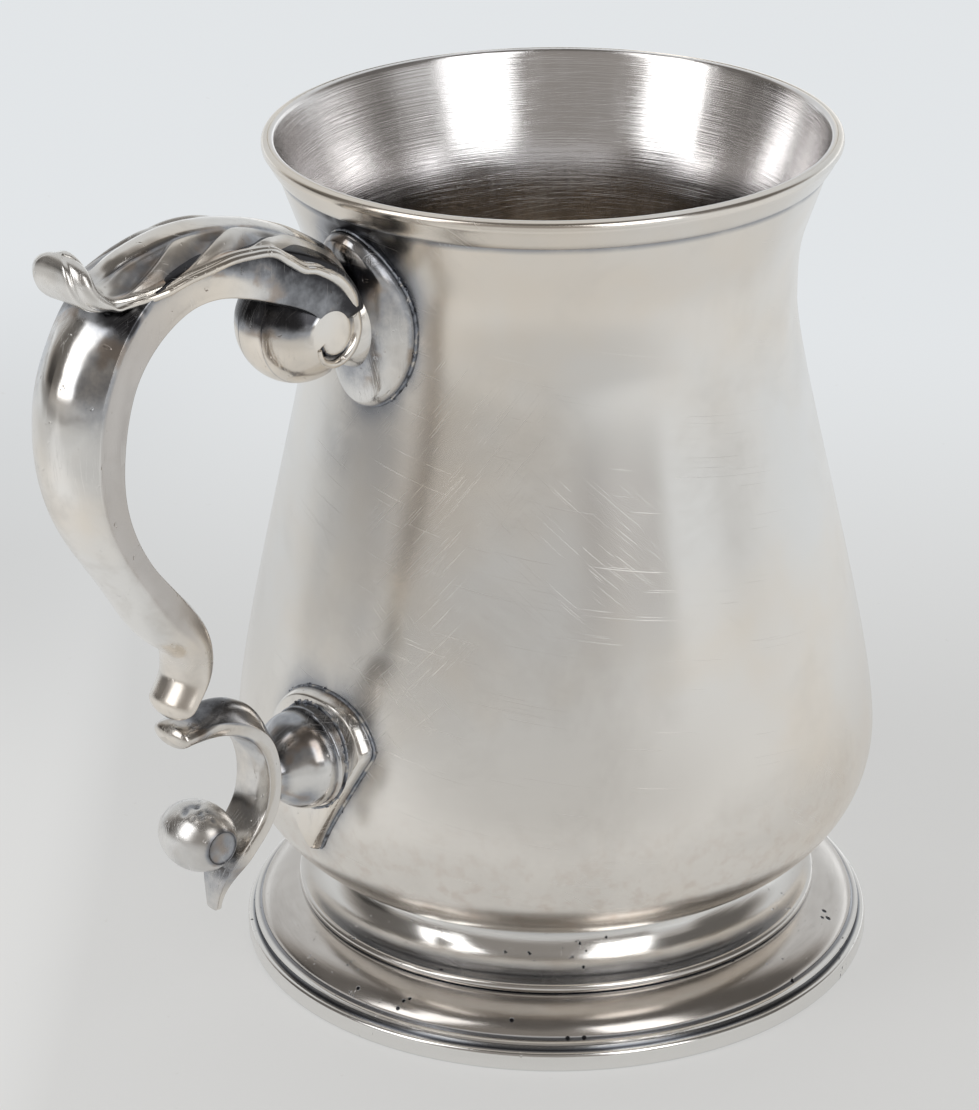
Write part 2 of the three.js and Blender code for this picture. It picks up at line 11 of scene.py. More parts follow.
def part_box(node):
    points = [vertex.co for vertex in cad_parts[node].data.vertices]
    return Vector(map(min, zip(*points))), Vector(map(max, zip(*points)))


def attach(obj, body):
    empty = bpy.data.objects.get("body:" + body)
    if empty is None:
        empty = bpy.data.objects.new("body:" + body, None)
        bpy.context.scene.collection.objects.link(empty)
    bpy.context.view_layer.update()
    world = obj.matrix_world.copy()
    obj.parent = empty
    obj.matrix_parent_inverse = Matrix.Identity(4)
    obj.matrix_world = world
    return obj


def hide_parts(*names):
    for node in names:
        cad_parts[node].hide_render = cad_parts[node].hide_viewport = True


bl_info = {
    "name": "Silver Mug",
    "version": (1, 0, 0),
    "blender": (4, 5, 0),
    "location": "View3D > Sidebar > Mug",
    "description": "Builds the finished surfaces of a silver pint mug and its studio",
    "category": "Object",
}

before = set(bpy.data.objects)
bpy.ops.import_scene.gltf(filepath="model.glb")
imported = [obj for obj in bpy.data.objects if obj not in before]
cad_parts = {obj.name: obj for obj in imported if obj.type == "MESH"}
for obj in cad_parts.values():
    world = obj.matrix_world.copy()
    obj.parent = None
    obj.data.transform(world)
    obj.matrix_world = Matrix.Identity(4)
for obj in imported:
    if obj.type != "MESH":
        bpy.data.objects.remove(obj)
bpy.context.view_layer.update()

MM = 0.001
BODY = "root"

# Bowl, in millimetres, with the main sizes taken from the frame
BOWL_LOW, BOWL_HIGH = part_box("bowl")
AXIS = (BOWL_LOW.x + BOWL_HIGH.x) / 2 / MM
MUG_HEIGHT = BOWL_HIGH.z / MM
FOOT_HEIGHT = BOWL_LOW.z / MM
BELLY_RADIUS = (BOWL_HIGH.y - BOWL_LOW.y) / 2 / MM
LIP_RADIUS = 40.8
LIP_FLARE = 0.29
LIP_EASE = 16
LIP_ROUND = 0.35
LIP_STEPS = 5
WAIST_RADIUS = 35.3
WAIST_DROP = 24.5
WAIST_Z = MUG_HEIGHT - WAIST_DROP
WAIST_EASE_UP = 12
WAIST_EASE_DOWN = 10
BELLY_RISE = 18.5
BELLY_Z = FOOT_HEIGHT + BELLY_RISE
BELLY_EASE = 14
BASE_TURN = 16.5
BASE_RADIUS = BELLY_RADIUS - BASE_TURN
BASE_CLEAN = 20
BOWL_WALL = 1.0

# Gap left at a solder seam
SEAM = 0.3

# Rim band
RIM_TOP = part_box("rim_band")[1].z / MM
RIM_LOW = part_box("rim_band")[0].z / MM
RIM_LAP = 0.3

# Foot
WIRE_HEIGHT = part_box("foot_base_wire")[1].z / MM
WIRE_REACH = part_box("foot_base_wire")[1].y / MM
WIRE_WIDTH = 3.2
NECK_LAP = 1.6
NECK_RADIUS = BASE_RADIUS + NECK_LAP
BEAD_SPREAD = 5.8
BEAD_REACH = NECK_RADIUS + BEAD_SPREAD
BEAD_HEIGHT = 8.9
BEAD_RADIUS = 0.75
STEP_SPREAD = 7.1
STEP_REACH = BEAD_REACH + STEP_SPREAD
STEP_DROP_SHARE = 0.73
STEP_FLATNESS = 1.3
FOOT_WALL = 1.4
FILLET_POINTS = 7

# Heights of the curve inside the foot, at its step, its bead and its neck
HOLLOW_HEIGHTS = (7.2, 7.5, 8.6)

# Sockets
PLATE_THICKNESS = 1.8
UPPER_Z = 108.1
UPPER_PLATE_HALF = (8.5, 13.1)
UPPER_BOSS_HALF = (4.6, 7.0)
UPPER_BOSS_DEPTH = 6.0
LOWER_SOCKET_RISE = 28.5
LOWER_Z = FOOT_HEIGHT + LOWER_SOCKET_RISE
LOWER_PLATE_HALF = 10.3
LOWER_PLATE_TOP = 9.0
LOWER_PLATE_SHOULDER = 2.4
LOWER_PLATE_TIP = 16.0
LOWER_PLATE_HOLLOW = 1.0
LOWER_PLATE_FULLNESS = 0.75
LOWER_PLATE_CORNER = 1.1
LOWER_BOSS_RADIUS = 7.5
LOWER_BOSS_NECK = 3.4
LOWER_BOSS_LENGTH = 7.8

# Upper scroll: a volute, a stem over it, the bow of the grip and its tapering end
VOLUTE_STANDOFF = 11.4
VOLUTE_RISE = 2.6
VOLUTE_RADIUS = 7.8
VOLUTE_WRAP = 0.45
VOLUTE_HALF = 7.6
VOLUTE_EYE = 3.3
BARREL_RADIUS = 8.5
HANDLE_WIDTH = 12.2
HANDLE_DEPTH = 9.0
STEM_DEPTH = 7.0
STEM_EASE = 13
STEM_LEAN = 0.64
BOW_REACH = 39
BOW_DROP = 9.3
BOW_EASE_SHARE = 0.52
SHOULDER_EASE = 27.5
ANKLE_HEIGHT = 10.6
ANKLE_SET = 1.4
ANKLE_EASE_SHARE = 0.245
END_SET = 0.4
TIP_WIDTH = 9.0
TIP_DEPTH = 4.8

# Lower scroll: a strap from under the grip's end, past the boss, to a pointed tail, and its bulb
STRAP_DEPTH = 2.9
STRAP_WIDTH = 7.4
STRAP_OFFSET = 1
STRAP_REACH = 15.2
STRAP_RISE = 10.8
STRAP_EASE = 6.5
ARCH_EASE = 10
ARCH_LIFT = 0.8
TAIL_REACH = 9.2
TAIL_DROP = 18.2
TAIL_EASE = 10
TAIL_FLICK = 0.8
TAIL_WIDTH = 2.2
TAIL_DEPTH = 1.1
BULB_RADIUS = 5.0
BULB_HALF = 5.5
BULB_EYE = 2.5
BULB_SHARE = 0.82
BULB_SEAT = 0.2
BULB_SHIFT = (0.2, 0.8)
BULB_DENTS = 16

# Steps along the scrolls and the leaf, of which the toe leaves some out; rings in a domed end
LINE_STEPS = 500
TOE_TRIM = 12
GRIP_STEPS = 220
STRAP_STEPS = 160
DOME_RINGS = 9
LEAF_STEPS = 320
LEAF_COLUMNS = 97
LEAF_EDGE_ROWS = 9
BOSS_SEGMENTS = 96

# Angle in degrees above which an edge stays sharp
SHARP = 38
SOLDER_SHARP = 60
LEAF_SHARP = 120

# Leaf, in the handle's plane: distance out from the bowl's axis, and height
LEAF_CROWN = (
    (42.0, 118.2), (43.6, 120.0), (47.5, 122.7), (51.8, 125.1), (57.8, 127.4), (64.5, 128.9), (71.2, 129.2),
    (77.9, 128.0), (82.0, 126.4), (84.0, 125.8), (85.1, 126.6), (85.4, 128.3), (85.4, 130.3),
)
LEAF_EDGE = (
    (44.0, 112.6), (45.2, 115.8), (47.4, 118.5), (50.9, 120.8), (53.5, 121.7), (56.0, 123.4), (58.9, 125.3),
    (62.8, 125.9), (66.2, 126.0), (69.6, 125.5), (73.0, 125.0), (76.3, 124.2), (79.6, 123.7), (83.7, 123.6),
    (85.4, 125.2), (86.4, 127.0), (86.5, 129.9),
)

# Half the leaf's width at shares of its length
LEAF_HALF = (
    (0.0, 6.4), (0.12, 7.1), (0.3, 7.4), (0.55, 7.3), (0.72, 6.7), (0.86, 5.2), (0.94, 4.2), (1.0, 3.6),
)

# Pits worn into the foot: degrees round the axis from the camera's side, radius and size
PITS = (
    (-42.0, 47.9, 0.75), (-40.5, 48.0, 0.6), (-41.0, 44.5, 0.4), (-30.5, 44.0, 0.35), (-29.5, 43.5, 0.3),
    (-31.0, 45.0, 0.35), (-26.0, 38.5, 0.4), (-8.5, 44.0, 0.4), (2.0, 45.5, 0.35), (5.0, 45.5, 0.35),
    (71.0, 43.5, 0.5), (72.5, 42.6, 0.45), (70.0, 42.8, 0.35), (66.5, 46.5, 0.35), (50.0, 45.5, 0.4),
)

# Camera: how far it stands from the bowl's middle, and how it and the handle are turned, in radians
CAMERA_DISTANCE = 590.296
CAMERA_RISE = 0.4105
CAMERA_YAW = -0.0179
CAMERA_DIP = 0.0043
CAMERA_ROLL = -0.012
CAMERA_FOCAL_PIXELS = 3961.5
PICTURE_HEIGHT = 1110
SENSOR = 36
HANDLE_TURN = math.radians(46)
CAMERA_WAY = math.atan2(-math.sin(HANDLE_TURN), -math.cos(HANDLE_TURN))

# Lamps: degrees right of the camera and above the table, distance and size in metres
LAMPS = {"softbox_right": (34, 32), "softbox_left": (-58, 32)}
LAMP_DISTANCE = 0.9
LAMP_SIZE = (0.44, 0.78)
TABLE_HALF = 3.0

# Colour of silver where a scratch or a rub has bared it
BARED = (0.97, 0.96, 0.94)


# Lines and surfaces

def bezier(points, count):
    """Points along a Bezier curve of any degree."""
    t = np.linspace(0, 1, count + 1)[:, None]
    level = [np.array(p, float) for p in points]
    while len(level) > 1:
        level = [a + (b - a) * t for a, b in zip(level, level[1:])]
    return level[0]


def arc(centre, radii, start, stop, count):
    """Points along an arc of an ellipse, between angles in degrees."""
    a = np.radians(np.linspace(start, stop, count + 1))
    return np.stack([centre[0] + radii[0] * np.cos(a), centre[1] + radii[1] * np.sin(a)], axis=1)


def chain(*lines):
    """Lines put end to end, without doubled points."""
    points = np.vstack([np.atleast_2d(np.array(line, float)) for line in lines])
    steps = np.linalg.norm(np.diff(points, axis=0), axis=1)
    return points[np.r_[True, steps > 1e-6]]


def even(line, count):
    """A line with its points moved to equal steps."""
    steps = np.r_[0, np.cumsum(np.linalg.norm(np.diff(line, axis=0), axis=1))]
    at = np.linspace(0, steps[-1], count + 1)
    return np.stack([np.interp(at, steps, line[:, i]) for i in range(line.shape[1])], axis=1)


def through(points, count):
    """A smooth line through points, in equal steps."""
    p = np.array(points, float)
    p = np.vstack([2 * p[0] - p[1], p, 2 * p[-1] - p[-2]])
    t = np.linspace(0, 1, 17)[:-1, None]
    parts = []
    for a, b, c, d in zip(p, p[1:], p[2:], p[3:]):
        parts.append(0.5 * (2 * b + (c - a) * t + (2 * a - 5 * b + 4 * c - d) * t**2
                            + (3 * b - a - 3 * c + d) * t**3))
    return even(np.vstack([*parts, p[-2:-1]]), count)


def heading(line):
    """Unit directions along a line."""
    along = np.gradient(line, axis=0)
    return along / np.linalg.norm(along, axis=1, keepdims=True)


def beside(line, distance):
    """A line moved to the left of its direction, by one distance or by one for each point."""
    along = heading(line)
    return line + np.stack([-along[:, 1], along[:, 0]], axis=1) * np.reshape(distance, (-1, 1))


def smooth(t, low, high):
    """A soft step from 0 at low to 1 at high."""
    x = np.clip((np.asarray(t, float) - low) / (high - low), 0, 1)
    return x * x * (3 - 2 * x)


def between(t, rise, fall):
    """1 from the end of a soft rise to the start of a soft fall, and 0 outside them."""
    return smooth(t, *rise) * (1 - smooth(t, *fall))


def bump(t, width):
    """A soft hill of height 1 round t = 0."""
    return np.exp(-((t / width) ** 2))


def rounded(lines, size):
    """A closed outline from lines that meet at corners, with each corner rounded."""
    fine = 200
    trimmed = []
    for line in lines:
        length = np.linalg.norm(np.diff(line, axis=0), axis=1).sum()
        cut = int(fine * (size / length))
        trimmed.append(even(even(line, fine)[cut: fine + 1 - cut], max(len(line) - 1, 2)))
    parts = []
    for i, line in enumerate(trimmed):
        after = trimmed[(i + 1) % len(trimmed)]
        corner = lines[i][-1]
        parts += [line, bezier([line[-1], corner, after[0]], 4)[1:-1]]
    return np.vstack(parts)


def in_handle(grid):
    """Points of distance out, sideways and height, set in the mug's frame."""
    return np.stack([AXIS - grid[..., 0], -grid[..., 1], grid[..., 2]], axis=-1)


def bowl_wall():
    """The bowl's outer line from the edge of its base to its lip."""
    base = arc((BASE_RADIUS, BELLY_Z), (BELLY_RADIUS - BASE_RADIUS, BELLY_Z - FOOT_HEIGHT), -90, 0, 40)
    body = bezier([
        (BELLY_RADIUS, BELLY_Z), (BELLY_RADIUS, BELLY_Z + BELLY_EASE),
        (WAIST_RADIUS, WAIST_Z - WAIST_EASE_DOWN), (WAIST_RADIUS, WAIST_Z),
    ], 64)
    flare = bezier([
        (WAIST_RADIUS, WAIST_Z), (WAIST_RADIUS, WAIST_Z + WAIST_EASE_UP),
        (LIP_RADIUS - LIP_EASE * math.sin(LIP_FLARE), MUG_HEIGHT - LIP_EASE * math.cos(LIP_FLARE)),
        (LIP_RADIUS, MUG_HEIGHT),
    ], 36)
    return chain(base, body, flare)


WALL = bowl_wall()


def bowl_radius(z):
    """The bowl's outer radius at a height."""
    return np.interp(z, WALL[:, 1], WALL[:, 0])


UPPER_FACE = bowl_radius(UPPER_Z) + SEAM + PLATE_THICKNESS
LOWER_FACE = bowl_radius(LOWER_Z) + SEAM + PLATE_THICKNESS
VOLUTE = np.array([UPPER_FACE + VOLUTE_STANDOFF, UPPER_Z + VOLUTE_RISE])
LOWER_BOSS_END = LOWER_BOSS_LENGTH + STRAP_DEPTH / 2
STRAP_BACK = np.array([LOWER_FACE + LOWER_BOSS_END, LOWER_Z + STRAP_OFFSET])
STRAP_NOSE = STRAP_BACK + (STRAP_REACH, STRAP_RISE)


def grip_line(count):
    """The grip's middle line: over the volute, round the bow and down to the lower scroll."""
    start = VOLUTE + (0, VOLUTE_RADIUS)
    bow = VOLUTE + (BOW_REACH, -BOW_DROP)
    end = STRAP_NOSE + (-END_SET, STRAP_DEPTH / 2 + SEAM)
    ankle = end + (-ANKLE_SET, ANKLE_HEIGHT)
    fall = bow[1] - ankle[1]
    lean = np.array([math.cos(STEM_LEAN), math.sin(STEM_LEAN)])
    root = VOLUTE + (-VOLUTE_RADIUS / 2, VOLUTE_RADIUS / 4)
    return even(chain(
        bezier([root, start - lean * VOLUTE_RADIUS * VOLUTE_WRAP, start], 30),
        bezier([start, start + lean * STEM_EASE, bow + (0, SHOULDER_EASE), bow], 90),
        bezier([bow, bow - (0, fall * BOW_EASE_SHARE), ankle + (0, fall * ANKLE_EASE_SHARE), ankle], 60),
        bezier([ankle, ankle - (0, ANKLE_HEIGHT / 3), end + (0, ANKLE_HEIGHT / 3), end], 30),
    ), count)


def strap_line(count):
    """The lower scroll's middle line, from its nose under the grip to the tip of its tail."""
    tail = STRAP_BACK + (TAIL_REACH, -TAIL_DROP)
    return even(chain(
        bezier([
            STRAP_NOSE, STRAP_NOSE + (-ARCH_EASE, ARCH_LIFT), STRAP_BACK + (0, STRAP_EASE), STRAP_BACK,
        ], 60),
        bezier([STRAP_BACK, STRAP_BACK - (0, TAIL_EASE), tail + (-TAIL_FLICK, TAIL_EASE), tail], 60),
    ), count)


# Meshes

def skin(grid, marks):
    """Vertices, faces and marks over rings of points, closed round each ring and at both ends."""
    rings, around = grid.shape[:2]
    index = np.arange(rings * around).reshape(rings, around)
    low, high = index[:-1], index[1:]
    faces = np.stack([low, np.roll(low, -1, 1), np.roll(high, -1, 1), high], axis=-1).reshape(-1, 4).tolist()
    first, last = rings * around, rings * around + 1
    points = np.vstack([grid.reshape(-1, 3), grid[0].mean(0), grid[-1].mean(0)])
    faces += [[first, int(b), int(a)] for a, b in zip(index[0], np.roll(index[0], -1))]
    faces += [[last, int(a), int(b)] for a, b in zip(index[-1], np.roll(index[-1], -1))]
    marks = {name: np.broadcast_to(value, (rings, around)).ravel() for name, value in marks.items()}
    return points, faces, {name: np.r_[value, value[0], value[-1]] for name, value in marks.items()}


def linked(name, data):
    """A new object in the scene."""
    made = bpy.data.objects.new(name, data)
    bpy.context.scene.collection.objects.link(made)
    return made


def finish_mesh(mesh, sharp):
    """Merges doubled points, turns faces outwards and smooths all but the sharp edges."""
    work = bmesh.new()
    work.from_mesh(mesh)
    bmesh.ops.remove_doubles(work, verts=work.verts, dist=1e-7)
    bmesh.ops.recalc_face_normals(work, faces=work.faces)
    work.to_mesh(mesh)
    work.free()
    mesh.polygons.foreach_set("use_smooth", np.ones(len(mesh.polygons), bool))
    mesh.set_sharp_from_angle(angle=math.radians(sharp))


def add_mark(mesh, name, values):
    """Stores a value for each point of a mesh."""
    mark = mesh.attributes.get(name) or mesh.attributes.new(name, "FLOAT", "POINT")
    mark.data.foreach_set("value", np.asarray(values, np.float32))


def read_mark(mesh, name):
    """The stored value for each point of a mesh."""
    values = np.zeros(len(mesh.vertices), np.float32)
    mesh.attributes[name].data.foreach_get("value", values)
    return values


def points_of(mesh):
    """A mesh's points in millimetres."""
    flat = np.zeros(len(mesh.vertices) * 3, np.float32)
    mesh.vertices.foreach_get("co", flat)
    return flat.reshape(-1, 3) / MM


def piece(name, surface, finish, sharp=SHARP):
    """An object from vertices in millimetres, faces and marks."""
    points, faces, marks = surface
    mesh = bpy.data.meshes.new(name)
    mesh.from_pydata((points * MM).tolist(), [], faces)
    for mark, values in marks.items():
        add_mark(mesh, mark, values)
    finish_mesh(mesh, sharp)
    mesh.materials.append(finish)
    return linked(name, mesh)


def dress(made, slot, *nodes):
    """Puts a finished piece on the mug in place of its nodes."""
    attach(made, BODY)
    if nodes:
        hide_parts(*nodes)


# Node trees

class Value:
    """A socket whose sums are written as Python."""

    def __init__(self, nodes, socket):
        self.nodes = nodes
        self.socket = socket

    def math(self, operation, a, b):
        return self.nodes.node("ShaderNodeMath", {"operation": operation}, {0: a, 1: b})

    def __add__(self, other):
        return self.math("ADD", self, other)

    def __radd__(self, other):
        return self.math("ADD", other, self)

    def __sub__(self, other):
        return self.math("SUBTRACT", self, other)

    def __rsub__(self, other):
        return self.math("SUBTRACT", other, self)

    def __mul__(self, other):
        return self.math("MULTIPLY", self, other)

    def __rmul__(self, other):
        return self.math("MULTIPLY", other, self)

    def __or__(self, other):
        return self.math("MAXIMUM", self, other)

    def __abs__(self):
        return self.math("ABSOLUTE", self, 0.0)


class Nodes:
    """Adds nodes to a tree from their type, their settings and the values or links of their sockets."""

    def __init__(self, tree):
        self.tree = tree
        self.tree.nodes.clear()

    def node(self, kind, settings=None, values=None, out=0):
        made = self.tree.nodes.new(kind)
        for name, value in (settings or {}).items():
            setattr(made, name, value)
        for name, value in (values or {}).items():
            for one in value if isinstance(value, list) else [value]:
                if isinstance(one, Value):
                    self.tree.links.new(one.socket, made.inputs[name])
                else:
                    made.inputs[name].default_value = one
        return Value(self, made.outputs[out]) if made.outputs else made

    def step(self, value, low, high, least=0.0, most=1.0):
        """A soft step between two values."""
        return self.node("ShaderNodeMapRange", {"interpolation_type": "SMOOTHSTEP"}, {
            "Value": value, "From Min": low, "From Max": high, "To Min": least, "To Max": most,
        })

    def blend(self, share, a, b):
        """A mix of two colours, each a socket or its red, green and blue."""
        a, b = (colour if isinstance(colour, Value) else (*colour[:3], 1.0) for colour in (a, b))
        return self.node("ShaderNodeMix", {"data_type": "RGBA"}, {0: share, 6: a, 7: b}, 2)

    def dot(self, at, way):
        """How far a place or direction lies along a way."""
        inputs = {0: at, 1: tuple(way)}
        return self.node("ShaderNodeVectorMath", {"operation": "DOT_PRODUCT"}, inputs, "Value")

    def gap(self, at, centre):
        """How far a place lies from a centre."""
        return self.node("ShaderNodeVectorMath", {"operation": "DISTANCE"}, {0: at, 1: centre}, "Value")


class Finish(Nodes):
    """A metal or table finish, with the patterns that its surface shows."""

    def __init__(self, name):
        self.material = bpy.data.materials.new(name)
        self.material.use_nodes = True
        super().__init__(self.material.node_tree)

    def place(self, source=None, centre=(0, 0, 0), turn=0, stretch=(1, 1, 1)):
        """Coordinates moved, turned about Z and stretched; the object's own where no source is given."""
        source = source or self.node("ShaderNodeTexCoord", {}, {}, "Object")
        return self.node("ShaderNodeMapping", {}, {
            "Vector": source, "Location": centre, "Rotation": (0, 0, turn), "Scale": stretch,
        })

    def from_axis(self):
        """Coordinates from the bowl's axis."""
        return self.place(centre=(-AXIS * MM, 0, 0))

    def unrolled(self, at):
        """A sheet of way round and height, that height, and a mask that clears the sheet's closing line."""
        x, y, z = (self.node("ShaderNodeSeparateXYZ", {}, {"Vector": at}, axis) for axis in "XYZ")
        way = x.math("ARCTAN2", y, x) * (BELLY_RADIUS * MM)
        closing = math.pi * BELLY_RADIUS * MM
        clear = self.step(abs(way), closing - 0.001, closing - 0.006)
        return self.node("ShaderNodeCombineXYZ", {}, {"X": way, "Y": z}), z, clear

    def noise(self, at, scale, detail=3.0, rough=0.55, twist=0.0):
        return self.node("ShaderNodeTexNoise", {}, {
            "Vector": at, "Scale": scale, "Detail": detail, "Roughness": rough, "Distortion": twist,
        })

    def mark(self, name):
        """A value that the mesh stores at its points."""
        return self.node("ShaderNodeAttribute", {"attribute_name": name}, {}, "Fac")

    def hairs(self, sheet, turn, length, width, shift, rare=0.7):
        """Hairline scratches of a length and width that run one way over a sheet."""
        turned = self.place(sheet, (shift, shift * 0.7, shift * 0.3), turn)
        at = self.place(turned, stretch=(1 / length, 1 / width, 1 / length))
        return self.step(self.noise(at, 1.0, 1.0, 0.4), rare, rare + 0.06)

    def tarnished(self, silver, tarnish, look):
        """Silver that goes blue-grey and then black as tarnishing and painted shade rise."""
        silver = self.blend(self.step(tarnish, 0.0, 0.55, 0.0, 0.85), silver, look.tarnish_light)
        return self.blend(self.step(tarnish, 0.45, 1.0), silver, look.tarnish)

    def metal(self, colour, rough, heights):
        """The shader, with bumps from pairs of height and strength."""
        normal = None
        for height, distance in heights:
            values = {"Height": height, "Distance": distance, "Strength": 1.0}
            if normal:
                values["Normal"] = normal
            normal = self.node("ShaderNodeBump", {}, values)
        shader = self.node("ShaderNodeBsdfPrincipled", {}, {
            "Base Color": colour, "Roughness": rough, "Metallic": 1.0, "Normal": normal,
        })
        self.node("ShaderNodeOutputMaterial", {}, {"Surface": shader})
        return self.material


def bowl_finish(look):
    """Satin silver worn by polishing: warm and cool patches, hairline scratches, tarnishing at the sockets,
    painted shade under the upper socket and a painted dark reflection of the handle.
    """
    f = Finish("bowl_metal")
    at = f.from_axis()
    sheet, height, clear = f.unrolled(at)
    inside = f.mark("inside")
    outside = 1.0 - inside
    cloud = f.noise(at, 16.0, 4.0, 0.6)
    patch = f.noise(at, 42.0, 5.0, 0.65, 0.4)
    tarnish = f.mark("tarnish") * f.step(f.noise(at, 120.0, 4.0, 0.6), 0.25, 0.55, 0.55, 1.0)
    slant = f.hairs(sheet, 0.65, 0.011, 0.00016, 3.1, 0.68) * f.step(f.noise(at, 24.0), 0.5, 0.62)
    cross = f.hairs(sheet, -0.8, 0.009, 0.00014, 7.7, 0.68) * f.step(f.noise(at, 21.0, 2.0), 0.52, 0.64)
    long = f.hairs(sheet, 0.15, 0.02, 0.00016, 1.3, 0.72)
    hatch = f.hairs(sheet, 1.0, 0.004, 0.00012, 5.2, 0.62) * f.step(f.noise(at, 14.0, 2.0), 0.5, 0.66) * 0.5
    scratch = (slant | cross | long | hatch) * outside * clear
    swirl = f.hairs(sheet, 0.1, 0.016, 0.00022, 2.4, 0.6) * f.step(f.noise(at, 60.0, 2.0), 0.42, 0.6)
    swirl = swirl * inside * clear
    warmth = f.step(cloud, 0.36, 0.64) | f.step(height, 0.075, 0.03, 0.0, 0.45)
    silver = f.blend(warmth, look.silver_cool, look.silver_warm)
    silver = f.blend(f.step(patch, 0.44, 0.76, 0.0, 0.35), silver, look.silver_dull)
    stain = f.step(f.noise(at, 380.0, 5.0, 0.65), 0.45, 0.7) * f.step(height, 0.044, 0.026) * outside
    silver = f.blend(stain * 0.28, silver, (0.6, 0.47, 0.39))
    silver = f.blend(f.step(height, 0.108, 0.09) * inside * 0.6, silver, (0.5, 0.43, 0.35))
    silver = f.blend(f.step(height, 0.085, 0.105) * inside * 0.7, silver, (0.87, 0.865, 0.885))
    silver = f.tarnished(silver, tarnish, look)
    silver = f.blend(scratch * 0.13 + swirl * 0.12, silver, BARED)
    streak = f.noise(f.place(at, stretch=(420, 420, 60)), 1.0, 3.0, 0.6)
    rough = look.body_roughness + 0.05 * f.step(patch, 0.4, 0.7) + 0.08 * tarnish + 0.05 * (scratch | swirl)
    rough = rough - 0.06 * inside + 0.05 * inside * f.step(streak, 0.35, 0.75)
    swell = f.noise(at, 30.0, 1.0, 0.4)
    brushed = f.noise(f.place(at, stretch=(40, 40, 5200)), 1.0, 3.0) * inside * f.step(height, 0.04, 0.06)
    return f.metal(silver, rough, [
        (swell, 0.0004), (scratch, -0.000004), (swirl, 0.000004), (brushed, 0.00004),
    ])


def foot_finish(look):
    """Older, darker silver: streaks round the foot, dull hollows and pits."""
    f = Finish("foot_metal")
    at = f.from_axis()
    tarnish = f.mark("tarnish")
    cloud = f.noise(at, 30.0, 4.0, 0.6)
    streak = f.noise(f.place(at, stretch=(60, 60, 900)), 1.0, 4.0, 0.65)
    speck = f.step(f.noise(at, 900.0, 2.0), 0.68, 0.76)
    pitted = speck * f.step(f.noise(at, 60.0), 0.5, 0.62)
    for way, radius, size in PITS:
        turn = CAMERA_WAY + math.radians(way)
        centre = (radius * math.cos(turn) * MM, radius * math.sin(turn) * MM, foot_height(radius) * MM)
        pitted = pitted | f.step(f.gap(at, centre), size * MM, size * 0.55 * MM)
    polish = f.mark("polish")
    dull = f.blend(f.step(cloud, 0.3, 0.7), (0.56, 0.53, 0.5), (0.74, 0.71, 0.68))
    dull = f.blend(f.step(streak, 0.42, 0.72, 0.0, 0.4), dull, (0.46, 0.43, 0.4))
    silver = f.blend(polish, dull, look.silver_cool)
    silver = f.tarnished(silver, tarnish | pitted, look)
    rough = look.foot_roughness + 0.04 * (1.0 - polish) + 0.05 * f.step(cloud, 0.4, 0.7) + 0.1 * tarnish
    return f.metal(silver, rough, [(f.noise(at, 45.0, 1.0), 0.0005), (streak, 0.00003), (pitted, -0.0004)])


def handle_finish(look):
    """Bright cast silver, dark in its hollows and where its mark paints shade and dark reflections, with fine
    polishing marks.
    """
    f = Finish("handle_metal")
    at = f.place()
    tarnish = f.mark("tarnish")
    cloud = f.noise(at, 40.0, 3.0)
    patch = f.noise(at, 130.0, 4.0, 0.6, 0.3)
    hair = f.hairs(at, 0.4, 0.006, 0.00012, 2.2, 0.64) | f.hairs(at, -0.7, 0.005, 0.00014, 6.4, 0.66)
    hair = hair * f.step(f.noise(at, 75.0, 2.0), 0.46, 0.6)
    speck = f.step(f.noise(at, 700.0, 2.0), 0.68, 0.76)
    dark = tarnish + 0.9 * (f.noise(at, 210.0, 5.0, 0.65) - 0.5) * f.step(tarnish, 0.02, 0.4)
    silver = f.blend(f.step(cloud, 0.4, 0.65), look.silver_cool, look.silver_warm)
    silver = f.blend(f.step(patch, 0.46, 0.7, 0.0, 0.55), silver, look.silver_dull)
    silver = f.blend(f.mark("dull"), silver, (0.54, 0.51, 0.49))
    silver = f.tarnished(silver, dark, look)
    silver = f.blend(f.mark("gold") * 0.8, silver, (0.45, 0.22, 0.07))
    brown = f.step(f.noise(at, 190.0, 2.0), 0.5, 0.62) * f.step(dark, 0.12, 0.35) * f.step(dark, 0.8, 0.5)
    silver = f.blend(brown * 0.4, silver, (0.36, 0.24, 0.13))
    silver = f.blend(hair * 0.15, silver, BARED)
    rough = look.handle_roughness + 0.06 * f.step(patch, 0.4, 0.7) + 0.1 * f.step(dark, 0.4, 1.0)
    rough = rough + 0.08 * hair + 0.2 * f.mark("satin")
    return f.metal(silver, rough, [
        (f.noise(at, 110.0, 2.0), 0.00025), (hair, -0.00001), (speck, -0.00005),
    ])


def solder_finish(look):
    """Grey solder, lumpy and half tarnished."""
    f = Finish("solder_metal")
    at = f.place()
    lump = f.noise(at, 600.0, 4.0)
    silver = f.blend(f.step(lump, 0.3, 0.5), look.tarnish, look.tarnish_light)
    silver = f.blend(f.step(lump, 0.52, 0.66), silver, look.silver_dull)
    return f.metal(silver, 0.25 + 0.25 * lump, [(lump, 0.0003)])


